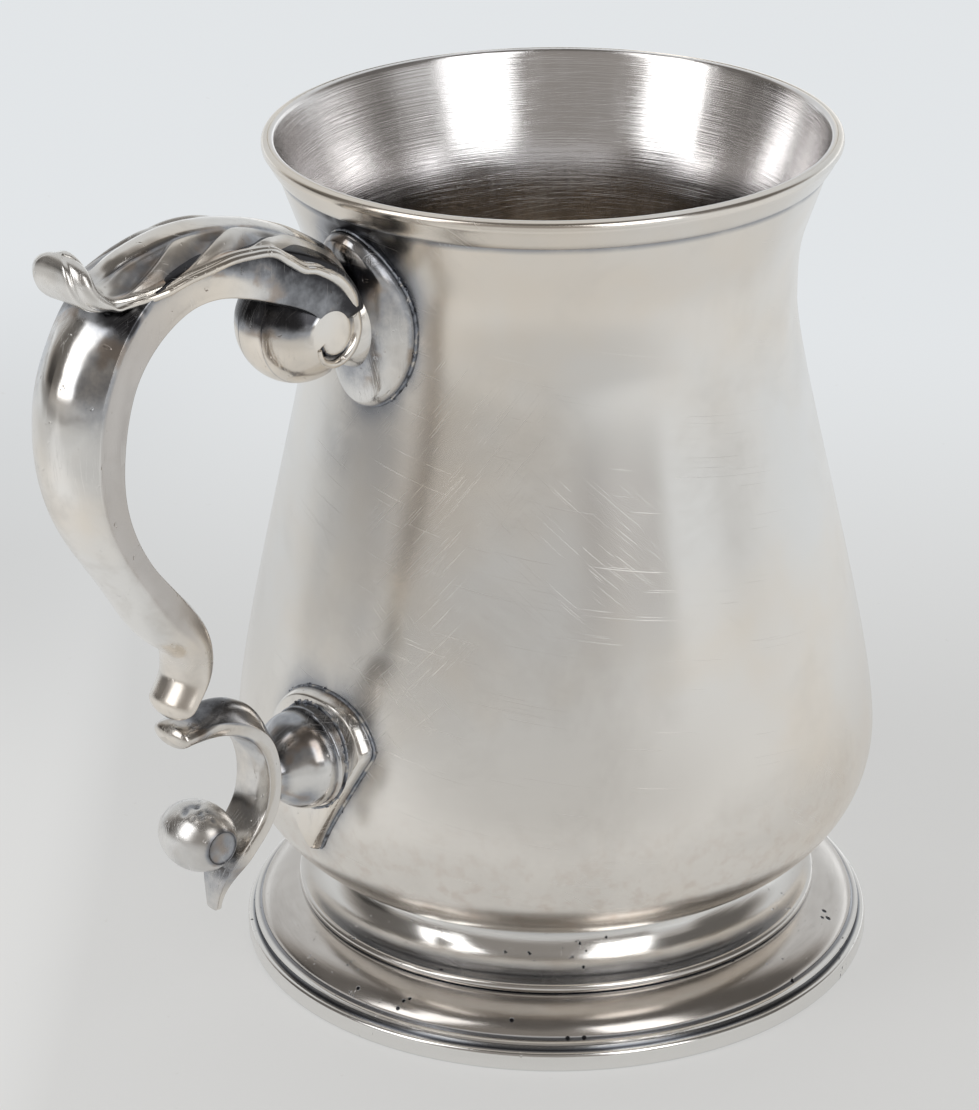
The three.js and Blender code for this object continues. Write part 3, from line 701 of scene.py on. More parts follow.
def table_finish(look):
    """A pale matt table with faint cloudiness and dust; camera and glossy rays see it glow, with painted
    shade and a painted glare streak in that glow.
    """
    f = Finish("table_top")
    at = f.place()
    cloud = f.noise(at, 7.0, 4.0)
    dust = f.step(f.noise(at, 420.0, 2.0), 0.72, 0.78) * 0.12
    colour = f.blend(f.step(cloud, 0.35, 0.65), look.table, [c * 0.97 for c in look.table])
    shader = f.node("ShaderNodeBsdfPrincipled", {}, {
        "Base Color": f.blend(dust, colour, (0.6, 0.56, 0.5)), "Roughness": 0.6, "Specular IOR Level": 0.25,
    })
    away, aside = f.dot(at, to_frame((0, 1, 0))), f.dot(at, to_frame((1, 0, 0)))
    pale = f.blend(f.step(away, 0.0, 0.3), look.table_near, look.table_far)
    # Painted shade in the glow: in front of the mug, to its left, and close by its left side.
    dim = f.step(away, -0.08, -0.24) * f.step(abs(aside), 0.45, 0.12)
    dim = dim | (f.step(aside, -0.18, -0.4) * f.step(away, 0.4, 0.1) * 0.9)
    dim = dim | (f.step(aside, -0.03, -0.1) * f.step(away, 0.05, 0.14) * f.step(away, 0.34, 0.2) * 0.45)
    pale = f.blend(dim * 0.4, pale, (0.3, 0.29, 0.28))
    # Painted shade in the glow far to the left.
    far = f.step(aside, -0.7, -1.0) * f.step(away, 1.4, 0.8)
    pale = f.blend(far * 0.8, pale, (0.18, 0.17, 0.16))
    # A painted glare streak in the glow to the left.
    glare = f.step(abs(f.dot(at, sky_way(-157, 0))), 0.12, 0.02) * f.step(aside, -0.06, -0.16)
    pale = f.blend(glare * 0.4, pale, (1.0, 1.0, 1.0))
    glow = f.node("ShaderNodeEmission", {}, {"Color": f.blend(dust, pale, (0.5, 0.47, 0.43))})
    seen = f.node("ShaderNodeLightPath", {}, {}, "Is Camera Ray")
    seen = seen | f.node("ShaderNodeLightPath", {}, {}, "Is Glossy Ray")
    clear = f.step(f.gap(at, (AXIS * MM, 0, 0)), 0.05, 0.27, 0.55, 0.97)
    # To the left of the mug, the glow covers the mug's shadow with painted light.
    clear = clear | f.step(aside, -0.03, -0.07, 0.0, 0.8)
    mixed = f.node("ShaderNodeMixShader", {}, {0: seen * clear, 1: shader, 2: glow})
    f.node("ShaderNodeOutputMaterial", {}, {"Surface": mixed})
    return f.material


# Geometry node trees

# Radius in millimetres of the circle that a profile is turned round
HUB = 1.0


def open_tree(name, inputs):
    """A geometry tree with a mesh in and out, and named inputs for its sizes."""
    tree = bpy.data.node_groups.new(name, "GeometryNodeTree")
    nodes = Nodes(tree)
    tree.interface.new_socket("Geometry", in_out="INPUT", socket_type="NodeSocketGeometry")
    for label, kind in inputs.items():
        tree.interface.new_socket(label, in_out="INPUT", socket_type=f"NodeSocket{kind}")
    tree.interface.new_socket("Geometry", in_out="OUTPUT", socket_type="NodeSocketGeometry")
    entry = tree.nodes.new("NodeGroupInput")
    return nodes, {socket.name: Value(nodes, socket) for socket in entry.outputs if socket.name}


def close_tree(nodes, shape, finish):
    """Ends a tree with real geometry in its finish."""
    solid = nodes.node("GeometryNodeRealizeInstances", {}, {"Geometry": shape})
    dressed = nodes.node("GeometryNodeSetMaterial", {}, {"Geometry": solid, "Material": finish})
    nodes.node("NodeGroupOutput", {}, {"Geometry": dressed})
    return nodes.tree


def turned_tree():
    """A profile line turned about the Z axis."""
    nodes, given = open_tree("Turned Piece", {"Segments": "Int", "Finish": "Material"})
    circle = nodes.node("GeometryNodeCurvePrimitiveCircle", {}, {
        "Resolution": given["Segments"], "Radius": HUB * MM,
    })
    line = nodes.node("GeometryNodeMeshToCurve", {}, {"Mesh": given["Geometry"]})
    wall = nodes.node("GeometryNodeCurveToMesh", {}, {"Curve": circle, "Profile Curve": line})
    return close_tree(nodes, wall, given["Finish"])


def solder_tree():
    """A fillet of solder along a line, with lumps of random size on it."""
    nodes, given = open_tree("Solder Seam", {
        "Radius": "Float", "Density": "Float", "Lump Size": "Float", "Seed": "Int", "Finish": "Material",
    })
    line = nodes.node("GeometryNodeMeshToCurve", {}, {"Mesh": given["Geometry"]})
    ring = nodes.node("GeometryNodeCurvePrimitiveCircle", {}, {"Resolution": 8, "Radius": given["Radius"]})
    fillet = nodes.node("GeometryNodeCurveToMesh", {}, {"Curve": line, "Profile Curve": ring})
    spots = nodes.node("GeometryNodeDistributePointsOnFaces", {}, {
        "Mesh": fillet, "Density": given["Density"], "Seed": given["Seed"],
    })
    ball = nodes.node("GeometryNodeMeshIcoSphere", {}, {"Radius": given["Lump Size"], "Subdivisions": 2})
    stretch = nodes.node("FunctionNodeRandomValue", {"data_type": "FLOAT_VECTOR"}, {
        0: (0.2, 0.2, 0.2), 1: (1.0, 1.0, 1.0), "Seed": given["Seed"],
    })
    lumps = nodes.node("GeometryNodeInstanceOnPoints", {}, {
        "Points": spots, "Instance": ball, "Scale": stretch,
    })
    both = nodes.node("GeometryNodeJoinGeometry", {}, {"Geometry": [fillet, lumps]})
    return close_tree(nodes, both, given["Finish"])


def run_tree(name, tree, points, closed, marks, settings):
    """The plain mesh that a tree makes from a line of points in millimetres."""
    count = len(points)
    edges = [(i, i + 1) for i in range(count - 1)] + ([(count - 1, 0)] if closed else [])
    line = bpy.data.meshes.new(name)
    line.from_pydata((np.asarray(points) * MM).tolist(), edges, [])
    for mark, values in marks.items():
        add_mark(line, mark, values)
    holder = linked(f"{name}_line", line)
    modifier = holder.modifiers.new("Form", "NODES")
    modifier.node_group = tree
    for item in tree.interface.items_tree:
        if item.in_out == "INPUT" and item.name in settings:
            modifier[item.identifier] = settings[item.name]
    ready = holder.evaluated_get(bpy.context.evaluated_depsgraph_get())
    mesh = bpy.data.meshes.new_from_object(ready)
    bpy.data.objects.remove(holder)
    mesh.name = name
    return mesh


def tree_named(name, make):
    """A tree by its name, made the first time that it is asked for."""
    return bpy.data.node_groups.get(name) or make()


def turned(name, profile, finish, segments, marks, closed=False, place=None):
    """A piece turned from points of radius and height, then set in its place."""
    line = np.stack([profile[:, 0] - HUB, -profile[:, 1], np.zeros(len(profile))], axis=1)
    mesh = run_tree(name, tree_named("Turned Piece", turned_tree), line, closed, marks, {
        "Segments": segments, "Finish": finish,
    })
    mesh.transform(place or Matrix.Translation((AXIS * MM, 0, 0)))
    finish_mesh(mesh, SHARP)
    return linked(name, mesh)


def solder(name, line, finish, radius, density, lump, seed):
    """A seam of solder along a closed line in the mug's frame."""
    mesh = run_tree(name, tree_named("Solder Seam", solder_tree), line, True, {}, {
        "Radius": radius * MM, "Density": density, "Lump Size": lump * MM, "Seed": seed, "Finish": finish,
    })
    finish_mesh(mesh, SOLDER_SHARP)
    return linked(name, mesh)


# Bowl and rim

def on_bowl(across, height, lift):
    """Points that lie on the bowl under the handle, lifted off its wall."""
    reach = bowl_radius(height) + lift
    return np.stack([AXIS - np.sqrt(reach**2 - across**2), -across, height], axis=-1)


def plate_gap(outline, points):
    """How far points of the bowl lie outside a plate's outline, in millimetres across and up."""
    reach, far = 22, 99.0
    flat = np.stack([-points[:, 1], points[:, 2]], axis=1)
    gap = np.full(len(flat), far)
    near = points[:, 0] < AXIS
    ring = even(np.vstack([outline, outline[:1]]), 160)
    for i in np.flatnonzero(near & (np.abs(flat[:, 0]) < reach)):
        gap[i] = np.linalg.norm(ring - flat[i], axis=1).min()
    return gap


def upper_outline(count=96):
    """The oval of the upper plate."""
    return arc((0, UPPER_Z), UPPER_PLATE_HALF, 0, 360, count)[:-1]


def lower_outline(count=24):
    """The shield of the lower plate, from its tip round to its tip."""
    tip = np.array([0, LOWER_Z - LOWER_PLATE_TIP])
    top = np.array([0, LOWER_Z + LOWER_PLATE_TOP])
    corner = np.array([LOWER_PLATE_HALF, LOWER_Z + LOWER_PLATE_SHOULDER])
    hollow = np.array([LOWER_PLATE_HALF / 2, (tip[1] + corner[1]) / 2 - LOWER_PLATE_HOLLOW])
    full = np.array([LOWER_PLATE_HALF * LOWER_PLATE_FULLNESS, top[1]])
    near = [bezier([tip, hollow, corner], count), bezier([corner, full, top], count)]
    mirror = np.array([-1, 1])
    return rounded([
        *near, bezier([top, full * mirror, corner * mirror], count),
        bezier([corner * mirror, hollow * mirror, tip], count),
    ], LOWER_PLATE_CORNER)


def bowl_profile():
    """The bowl's outline over its outer wall, lip, inner wall and floor, and which points lie inside."""
    inner = beside(WALL, BOWL_WALL)
    inner = inner[inner[:, 1] < MUG_HEIGHT - LIP_ROUND]
    lip = LIP_RADIUS - BOWL_WALL / math.cos(LIP_FLARE)
    under = np.stack([np.linspace(0, BASE_RADIUS, 12), np.full(12, FOOT_HEIGHT)], axis=1)
    floor = np.stack([np.linspace(BASE_RADIUS, 0, 24), np.full(24, FOOT_HEIGHT + BOWL_WALL)], axis=1)
    outer = chain(under, WALL[WALL[:, 1] < MUG_HEIGHT - LIP_ROUND])
    edge = chain(
        bezier([outer[-1], (LIP_RADIUS, MUG_HEIGHT), (LIP_RADIUS - LIP_ROUND, MUG_HEIGHT)], LIP_STEPS),
        bezier([(lip + LIP_ROUND, MUG_HEIGHT), (lip, MUG_HEIGHT), inner[-1]], LIP_STEPS),
    )
    profile = chain(outer, edge, inner[::-1], floor)
    return profile, np.arange(len(profile)) >= len(outer) + LIP_STEPS


def bowl_stains_and_shade(points):
    """Tarnish round the two plates, with painted shade under the upper one and a painted dark reflection of
    the handle on the wall behind it.
    """
    upper = plate_gap(upper_outline(), points)
    lower = plate_gap(lower_outline(), points)
    across, z = points[:, 1], points[:, 2]
    stain = 0.2 * bump(upper, 0.7) + 0.32 * bump(upper, 2.4) + 0.2 * bump(lower, 0.7) + 0.25 * bump(lower, 3)
    stain += (0.35 * bump(upper, 3.5) + 0.2 * bump(upper, 9)) * smooth(z, 106, 119)
    # Painted shade on the wall under the upper plate.
    shade_under_plate = smooth(UPPER_Z - z, 2, 14) * bump(across, 9) * bump(z - 93, 7)
    # A painted dark reflection of the handle on the wall behind it.
    behind = bump(np.abs(across) - 5, 5) * between(z, (44, 56), (84, 98))
    return stain + (0.2 * shade_under_plate + 0.14 * behind) * (points[:, 0] < AXIS)


def make_bowl(form, look):
    """The raised bowl, with its lip rounded between the two walls."""
    profile, inside = bowl_profile()
    r, z = profile[:, 0], profile[:, 1]
    seams = 0.5 * bump(z - RIM_LOW, 0.4) + 0.6 * bump(z - FOOT_HEIGHT, 1.2) * (r > BASE_CLEAN)
    made = turned("bowl_body", profile, bowl_finish(look), form.segments, {
        "inside": inside, "tarnish": np.where(inside, 0.0, seams),
    })
    mesh = made.data
    outside = read_mark(mesh, "inside") < 0.5
    shade = read_mark(mesh, "tarnish") + bowl_stains_and_shade(points_of(mesh)) * outside
    add_mark(mesh, "tarnish", np.clip(shade, 0, 1))
    dress(made, "body_silver", "bowl")


def rim_seat(z):
    """The rim band's inner radius at a height, a little inside the bowl's outer face."""
    return bowl_radius(z) - RIM_LAP


def make_rim(form, look):
    """The band soldered round the lip, soft at its lower edge."""
    middle = (RIM_TOP + RIM_LOW) / 2
    low, top = rim_seat(RIM_LOW), rim_seat(RIM_TOP)
    shoulder = (top + 1.15, RIM_TOP - 0.9)
    face = chain(
        bezier([
            (low + 0.3, RIM_LOW), (low + 0.9, RIM_LOW + 0.2), (rim_seat(middle) + 1.0, middle), shoulder,
        ], 16),
        bezier([shoulder, (top + 1.35, RIM_TOP + 0.1), (top + 0.9, MUG_HEIGHT), (top + 0.3, MUG_HEIGHT)], 12),
    )
    heights = np.linspace(RIM_TOP, RIM_LOW, 6)
    profile = chain(face, np.stack([rim_seat(heights), heights], axis=1))
    tarnish = 0.35 * bump(profile[:, 1] - RIM_LOW, 0.5)
    made = turned("rim_strip", profile, bpy.data.materials["bowl_metal"], form.segments, {
        "inside": np.zeros(len(profile)), "tarnish": tarnish,
    }, closed=True)
    dress(made, "body_silver", "rim_band")


# Foot

def foot_outline():
    """The foot's outer line from its neck to the fillet over the base wire."""
    top = FOOT_HEIGHT - SEAM
    bottom = WIRE_HEIGHT - 0.1
    groove = BEAD_HEIGHT - BEAD_RADIUS
    drop = (groove - WIRE_HEIGHT - SEAM) * STEP_DROP_SHARE
    rim = BEAD_REACH - BEAD_RADIUS
    cove = arc((rim, top), (rim - NECK_RADIUS, top - BEAD_HEIGHT - BEAD_RADIUS), 180, 270, 24)
    bead = arc((BEAD_REACH, BEAD_HEIGHT), (BEAD_RADIUS, BEAD_RADIUS), 90, -80, 14)
    turn = np.radians(np.linspace(87, 2, 31))
    low = groove - drop
    step = np.stack([
        BEAD_REACH + (STEP_REACH - BEAD_REACH - 0.5) * np.cos(turn) ** STEP_FLATNESS,
        low + drop * np.sin(turn) ** STEP_FLATNESS,
    ], axis=1)
    fillet = chain(
        (STEP_REACH - 0.5, low - 0.15), (STEP_REACH - 0.25, low - 0.35), (STEP_REACH + 0.2, low - 0.35),
        (STEP_REACH + 0.5, low - 0.5), (STEP_REACH + 0.6, low - 0.75), (STEP_REACH + 0.5, low - 0.95),
        (STEP_REACH + 0.45, bottom),
    )
    return chain(cove, bead, step, fillet)


FOOT_LINE = foot_outline()


def foot_height(radius):
    """The height of the foot's outer face at a radius."""
    order = np.argsort(FOOT_LINE[:, 0])
    return float(np.interp(radius, FOOT_LINE[order, 0], FOOT_LINE[order, 1]))


def make_foot_dome(form, look):
    """The spreading foot, bright at its neck, bead and fillet."""
    step, bead, neck = (radius - FOOT_WALL for radius in (STEP_REACH, BEAD_REACH, NECK_RADIUS))
    at_step, at_bead, at_neck = HOLLOW_HEIGHTS
    inner = bezier([
        (step, FOOT_LINE[-1, 1]), (step, at_step), (bead, at_bead), (neck, at_neck),
        (neck, FOOT_HEIGHT - SEAM),
    ], 24)
    profile = chain(FOOT_LINE, inner)
    r, z = profile[:, 0], profile[:, 1]
    outer = np.arange(len(profile)) < len(FOOT_LINE)
    groove = bump(np.hypot(r - BEAD_REACH - 0.2, z - BEAD_HEIGHT + BEAD_RADIUS), 0.3)
    seat = bump(np.hypot(r - STEP_REACH + 0.3, z - FOOT_LINE[-FILLET_POINTS, 1]), 0.25)
    tarnish = 0.8 * groove + 0.85 * seat + 0.7 * bump(z - FOOT_HEIGHT, 1.3)
    tarnish = tarnish + 0.6 * bump(z - WIRE_HEIGHT, 0.25)
    polish = 0.85 * smooth(z, 9.2, 10.5) + 0.35 * bump(r - BEAD_REACH - 0.4, 0.5) * (z > 7)
    polish = polish + 0.9 * smooth(r, STEP_REACH - 0.3, STEP_REACH + 0.2)
    dome = turned("foot_dome_silver", profile, foot_finish(look), form.segments, {
        "tarnish": np.where(outer, tarnish, 0.45), "polish": np.where(outer, polish, 0.0),
    }, closed=True)
    dress(dome, "foot_silver", "foot_dome")


def make_foot_wire(form, look):
    """The wire that the foot stands on."""
    inside = WIRE_REACH - WIRE_WIDTH
    lip = chain(
        (inside, 0.25), (inside + 0.3, 0), (WIRE_REACH - 0.4, 0),
        bezier([(WIRE_REACH - 0.4, 0), (WIRE_REACH, 0), (WIRE_REACH, 0.6)], 6),
        bezier([
            (WIRE_REACH, WIRE_HEIGHT - 0.9), (WIRE_REACH, WIRE_HEIGHT), (WIRE_REACH - 0.6, WIRE_HEIGHT),
        ], 8),
        (WIRE_REACH - 1.1, WIRE_HEIGHT - 0.05), (inside, WIRE_HEIGHT),
    )
    dark = np.where(lip[:, 0] < WIRE_REACH - 1.0, 0.8, 0.0) + 0.25 * bump(lip[:, 1], 0.3)
    wire = turned("foot_wire_silver", lip, bpy.data.materials["foot_metal"], form.segments, {
        "tarnish": np.clip(dark, 0, 1), "polish": np.ones(len(lip)),
    }, closed=True)
    dress(wire, "foot_silver", "foot_base_wire")


# Sockets

def plate_surface(outline, centre, lift, dark, top_shade):
    """A plate on the bowl: its height and tarnishing by share from middle to edge, and painted shade at its
    top.
    """
    shares = np.r_[np.linspace(0.02, 0.8, 12), np.linspace(0.83, 1, 12)]
    top = centre + (outline[None] - centre) * shares[:, None, None]
    rings = [on_bowl(ring[:, 0], ring[:, 1], SEAM + lift(share)) for ring, share in zip(top, shares)]
    rings += [on_bowl(outline[:, 0], outline[:, 1], SEAM), on_bowl(top[4][:, 0], top[4][:, 1], SEAM)]
    grid = np.array(rings)
    # Painted shade darkens the upper part of each plate.
    tarnish = np.r_[dark(shares), 0.5, 0.5][:, None] + top_shade * smooth(grid[..., 2] - centre[1], -2, 9)
    return skin(grid, {"tarnish": np.clip(tarnish, 0, 1)})


def upper_lift(share):
    """How far the upper plate stands off the bowl, from a raised middle to a rounded edge."""
    return 0.6 + 1.0 * math.sqrt(1 - smooth(share, 0.9, 1.0)) + 2.8 * (1 - share * share)


def upper_dark(share):
    """Tarnish over the upper plate, under the boss and at the edge."""
    return 0.14 + 0.3 * smooth(share, 0.97, 1) + 0.4 * (1 - smooth(share, 0.4, 0.88))


def lower_lift(share):
    """How far the lower plate stands off the bowl, flat to a rounded edge."""
    return 0.5 + 1.3 * math.sqrt(1 - smooth(share, 0.93, 1.0))


def lower_dark(share):
    """Tarnish at the lower plate's edge."""
    return 0.25 * smooth(share, 0.96, 1)


def make_plates(form, look):
    """The two plates soldered to the bowl."""
    finish = handle_finish(look)
    upper = plate_surface(upper_outline(), np.array([0, UPPER_Z]), upper_lift, upper_dark, 0.35)
    dress(piece("upper_plate_silver", upper, finish), "body_silver", "upper_plate")
    lower = plate_surface(lower_outline(), np.array([0, LOWER_Z]), lower_lift, lower_dark, 0.1)
    dress(piece("lower_plate_silver", lower, finish), "body_silver", "lower_plate")


def make_upper_boss(form, look):
    """The dome between the upper plate and the volute, kept out of the bowl's inside."""
    dome = arc((0, 0), (1, 1), -30, 90, 30)
    stand = Matrix((
        (0, 0, -UPPER_BOSS_DEPTH * MM, (AXIS - UPPER_FACE) * MM), (UPPER_BOSS_HALF[0] * MM, 0, 0, 0),
        (0, UPPER_BOSS_HALF[1] * MM, 0, UPPER_Z * MM), (0, 0, 0, 1),
    ))
    boss = turned("upper_boss_silver", dome, bpy.data.materials["handle_metal"], BOSS_SEGMENTS, {
        "tarnish": 0.8 * bump(dome[:, 1], 0.22),
    }, place=stand @ Matrix.Scale(1 / MM, 4))
    points = points_of(boss.data)
    back = np.sqrt((bowl_radius(points[:, 2]) - 0.4) ** 2 - points[:, 1] ** 2)
    points[:, 0] = np.minimum(points[:, 0], AXIS - back)
    boss.data.vertices.foreach_set("co", (points * MM).ravel())
    boss.data.update()
    dress(boss, "handle_silver", "upper_boss")


def make_lower_boss(form, look):
    """The ringed bell between the lower plate and the lower scroll."""
    ring, neck = LOWER_BOSS_RADIUS, LOWER_BOSS_NECK
    collar, end = (ring - 0.4, 0.7), (neck, LOWER_BOSS_END)
    shape = chain(
        (ring, -2.5), (ring, 0.0),
        bezier([(ring, 0.0), (ring + 0.1, 0.4), (ring - 0.1, 0.6), collar], 10),
        bezier([collar, (ring + 0.2, 3.8), (neck + 2.4, 5.4), (neck + 0.2, 6.6), end], 40),
        (0.01, LOWER_BOSS_END),
    )
    z = shape[:, 1]
    # Painted shade in the creases at the foot of the ring, above the collar and at the neck, over an even
    # tarnish.
    tarnish = 0.14 + 0.5 * bump(z + 0.7, 0.6) + 0.3 * bump(z - 1.1, 0.5) + 0.3 * bump(z - 7.6, 0.7)
    stand = Matrix((
        (0, 0, -1, (AXIS - LOWER_FACE) * MM), (1, 0, 0, 0), (0, 1, 0, LOWER_Z * MM), (0, 0, 0, 1),
    ))
    boss = turned("lower_boss_silver", shape, bpy.data.materials["handle_metal"], BOSS_SEGMENTS, {
        "tarnish": np.clip(tarnish, 0, 1),
    }, place=stand)
    points = points_of(boss.data)
    # Painted shade over the upper half of the boss, and a stain low down on it.
    shade = read_mark(boss.data, "tarnish") + 0.4 * smooth(points[:, 2] - LOWER_Z, 0.5, 4)
    shade += 0.4 * bump(points[:, 2] - LOWER_Z + 3.6, 1.6) * bump(AXIS - LOWER_FACE - 5 - points[:, 0], 1.6)
    add_mark(boss.data, "tarnish", np.clip(shade, 0, 1))
    dress(boss, "handle_silver", "lower_boss")


def make_solder(form, look):
    """The seams of solder round the plates and the lower boss."""
    finish = solder_finish(look)
    for name, outline, radius, density, lump, seed in (
        ("upper_plate_solder", upper_outline(), 0.26, 5e5, 0.3, 4),
        ("lower_plate_solder", lower_outline(), 0.22, 6e5, 0.3, 9),
    ):
        line = on_bowl(outline[:, 0] * 1.01, outline[:, 1], 0.16)
        dress(solder(name, line, finish, radius, density, lump, seed), "body_silver")
    reach = LOWER_BOSS_RADIUS + 0.1
    ring = arc((0, LOWER_Z), (reach, reach), 0, 360, 72)[:-1]
    line = on_bowl(ring[:, 0], ring[:, 1], SEAM + PLATE_THICKNESS)
    dress(solder("lower_boss_solder", line, finish, 0.2, 1e6, 0.34, 3), "handle_silver")


# Upper scroll

def grip_size(t):
    """Half the grip's width and depth at shares of its line."""
    taper = smooth(t, 0.48, 0.86)
    width = HANDLE_WIDTH + (TIP_WIDTH - HANDLE_WIDTH) * taper
    depth = STEM_DEPTH + (HANDLE_DEPTH - STEM_DEPTH) * smooth(t, 0.23, 0.43)
    return width / 2, (depth + (TIP_DEPTH - depth) * taper) / 2


def scroll_section(hollow, corner=0.7):
    """A scroll's unit section: a crown springing from its corners, two hollow sides and a rounded back."""
    back, arris = 0.8, 0.07
    side = bezier([(1, corner), (1 - hollow, (corner - back) / 2), (1, -back)], 10)
    return rounded([
        bezier([(-1, corner), (0, 2 - corner), (1, corner)], 26), side,
        bezier([(1, -back), (0, back - 2), (-1, -back)], 14), side[::-1] * (-1, 1),
    ], arris)


def sweep(line, sections, half_width, half_depth, crown, dome):
    """A scroll along a line through its sections, closed by domes that reach past its two ends."""
    count = len(line)
    along = heading(line)
    out = np.stack([-along[:, 1], along[:, 0]], axis=1) * crown
    grid = np.zeros((count, sections.shape[1], 3))
    rise = sections[..., 1] * half_depth[:, None]
    grid[..., [0, 2]] = line[:, None] + out[:, None] * rise[..., None]
    grid[..., 1] = sections[..., 0] * half_width[:, None]
    caps = []
    for end, sign, reach in ((0, -1, dome[0]), (count - 1, 1, dome[1])):
        rings = []
        for a in np.radians(np.linspace(12, 86, DOME_RINGS)):
            middle = grid[end].mean(0)
            ring = middle + (grid[end] - middle) * math.cos(a)
            ring[:, [0, 2]] += along[end] * sign * reach * math.sin(a)
            rings.append(ring)
        caps.append(np.array(rings))
    return np.concatenate([caps[0][::-1], grid, caps[1]])


def ring_shares(grid):
    """The share of its line at each ring of a swept scroll, with its domed ends at 0 and 1."""
    steps = len(grid) - 2 * DOME_RINGS - 1
    return np.clip((np.arange(len(grid)) - DOME_RINGS) / steps, 0, 1)[:, None]


def blended(first, second, share):
    """Sections that turn from one outline into another as the share rises along the line."""
    return first + (second - first) * share[:, None, None]


def oval(section):
    """A section's points moved out or in to a unit circle."""
    return section / np.linalg.norm(section, axis=-1, keepdims=True)


def tube(path, radii, around=14):
    """A round wire along a path of distance out, sideways and height."""
    along = heading(path)
    side = np.cross(along, (0, 1, 0))
    side /= np.linalg.norm(side, axis=1, keepdims=True)
    up = np.cross(side, along)
    a = np.linspace(0, 2 * np.pi, around, endpoint=False)[None, :, None]
    return path[:, None] + radii[:, None, None] * (np.cos(a) * side[:, None] + np.sin(a) * up[:, None])


def barrel(radius, half, eye, middle, count):
    """A barrel's profile of radius and side, from the middle of one end over its flank to the other."""
    slope = math.degrees(math.acos(eye / radius))
    flank = arc((0, 0), (radius, half / math.sin(math.radians(slope))), slope, 0, count)
    near = chain(middle, flank)
    return chain(near, near[::-1] * (1, -1))


def volute_side(radius):
    """How far the volute's side stands from the handle's plane at a radius."""
    reach = VOLUTE_HALF / math.sqrt(1 - (VOLUTE_EYE / BARREL_RADIUS) ** 2)
    return np.minimum(reach * np.sqrt(1 - (np.asarray(radius) / BARREL_RADIUS) ** 2), VOLUTE_HALF)


def spiral_band(side):
    """The rolled edge that runs from the leaf round the back of the volute and hooks in under its eye."""
    start = [(54.5, 7.3, 121.9), (50.9, 7.4, 120.5), (47.4, 7.4, 118.2), (45.0, 7.1, 115.4)]
    hook = []
    for turn, radius in (
        (162, 5.3), (187, 5.4), (212, 5.3), (237, 5.0), (262, 4.6), (286, 4.0), (307, 3.4), (324, 2.9),
    ):
        out, up = VOLUTE + radius * np.array([math.cos(math.radians(turn)), math.sin(math.radians(turn))])
        hook.append((out, float(volute_side(radius)), up))
    path = through(start + hook, 120)
    t = np.linspace(0, 1, 121)
    radii = 0.25 + 0.65 * smooth(t, 0.0, 0.3) - 0.55 * smooth(t, 0.7, 1.0)
    path[:, 1] *= side
    return skin(in_handle(tube(path, radii)), {})


def volute_surface():
    """The volute's barrel, with a groove round its eye that the spiral band hooks into."""
    crest = VOLUTE_HALF + 0.1
    eye = bezier([(0.05, crest), (VOLUTE_EYE * 0.8, crest), (VOLUTE_EYE, VOLUTE_HALF)], 28)
    profile = barrel(BARREL_RADIUS, VOLUTE_HALF, VOLUTE_EYE, eye, 44)
    along = heading(profile)
    normal = np.stack([-along[:, 1], along[:, 0]], axis=1)
    way = np.radians(np.arange(0, 360, 2.5))
    turn = np.degrees(way) % 360
    window = between(turn, (190, 240), (312, 328))
    track = np.interp(turn, (150, 235, 260, 284, 305, 322), (4.4, 4.1, 3.7, 3.15, 2.6, 2.3))
    radius, side = profile[:, :1], np.abs(profile[:, 1:])
    groove = bump(radius - track, 0.42) * window * smooth(side, 2.5, 5)
    push = -0.8 * groove
    reach = radius + normal[:, :1] * push
    aside = profile[:, 1:] + normal[:, 1:] * push
    grid = np.stack([VOLUTE[0] + reach * np.cos(way), aside, VOLUTE[1] + reach * np.sin(way)], axis=-1)
    seam = bump(side - 2.4, 0.16) * 0.4
    # Painted shade over the barrel's upper half, where the stem lies over it, out to the rim of the eye.
    crease_shade = 1.1 * smooth(grid[..., 2] - VOLUTE[1], -0.8, 3.2) * (1 - smooth(side, 7.3, 7.58))
    return skin(in_handle(grid), {"tarnish": np.clip(1.2 * groove + seam + crease_shade, 0, 1)})


def halves(surface, finish):
    """Cuts a surface on the handle's plane into its two cast halves."""
    for node, keep in (("grip_half_right", -1), ("grip_half_left", 1)):
        made = piece(f"{node}_silver", surface, finish)
        work = bmesh.new()
        work.from_mesh(made.data)
        everything = [*work.verts, *work.edges, *work.faces]
        cut = bmesh.ops.bisect_plane(work, geom=everything, plane_co=(0, 0, 0), plane_no=(0, -keep, 0),
                                     clear_outer=True, dist=1e-7)
        rim = [e for e in cut["geom_cut"] if isinstance(e, bmesh.types.BMEdge)]
        bmesh.ops.holes_fill(work, edges=rim)
        work.to_mesh(made.data)
        work.free()
        made.data.set_sharp_from_angle(angle=math.radians(SHARP))
        dress(made, "handle_silver", node)


def joined(*surfaces):
    """Several surfaces as one; a mark that one of them lacks is 0 there."""
    points, faces, start = [], [], 0
    for p, f, _ in surfaces:
        points.append(p)
        faces += [[i + start for i in face] for face in f]
        start += len(p)
    names = dict.fromkeys(name for *_, m in surfaces for name in m)
    marks = {
        name: np.concatenate([m.get(name, np.zeros(len(p))) for p, _, m in surfaces]) for name in names
    }
    return np.vstack(points), faces, marks


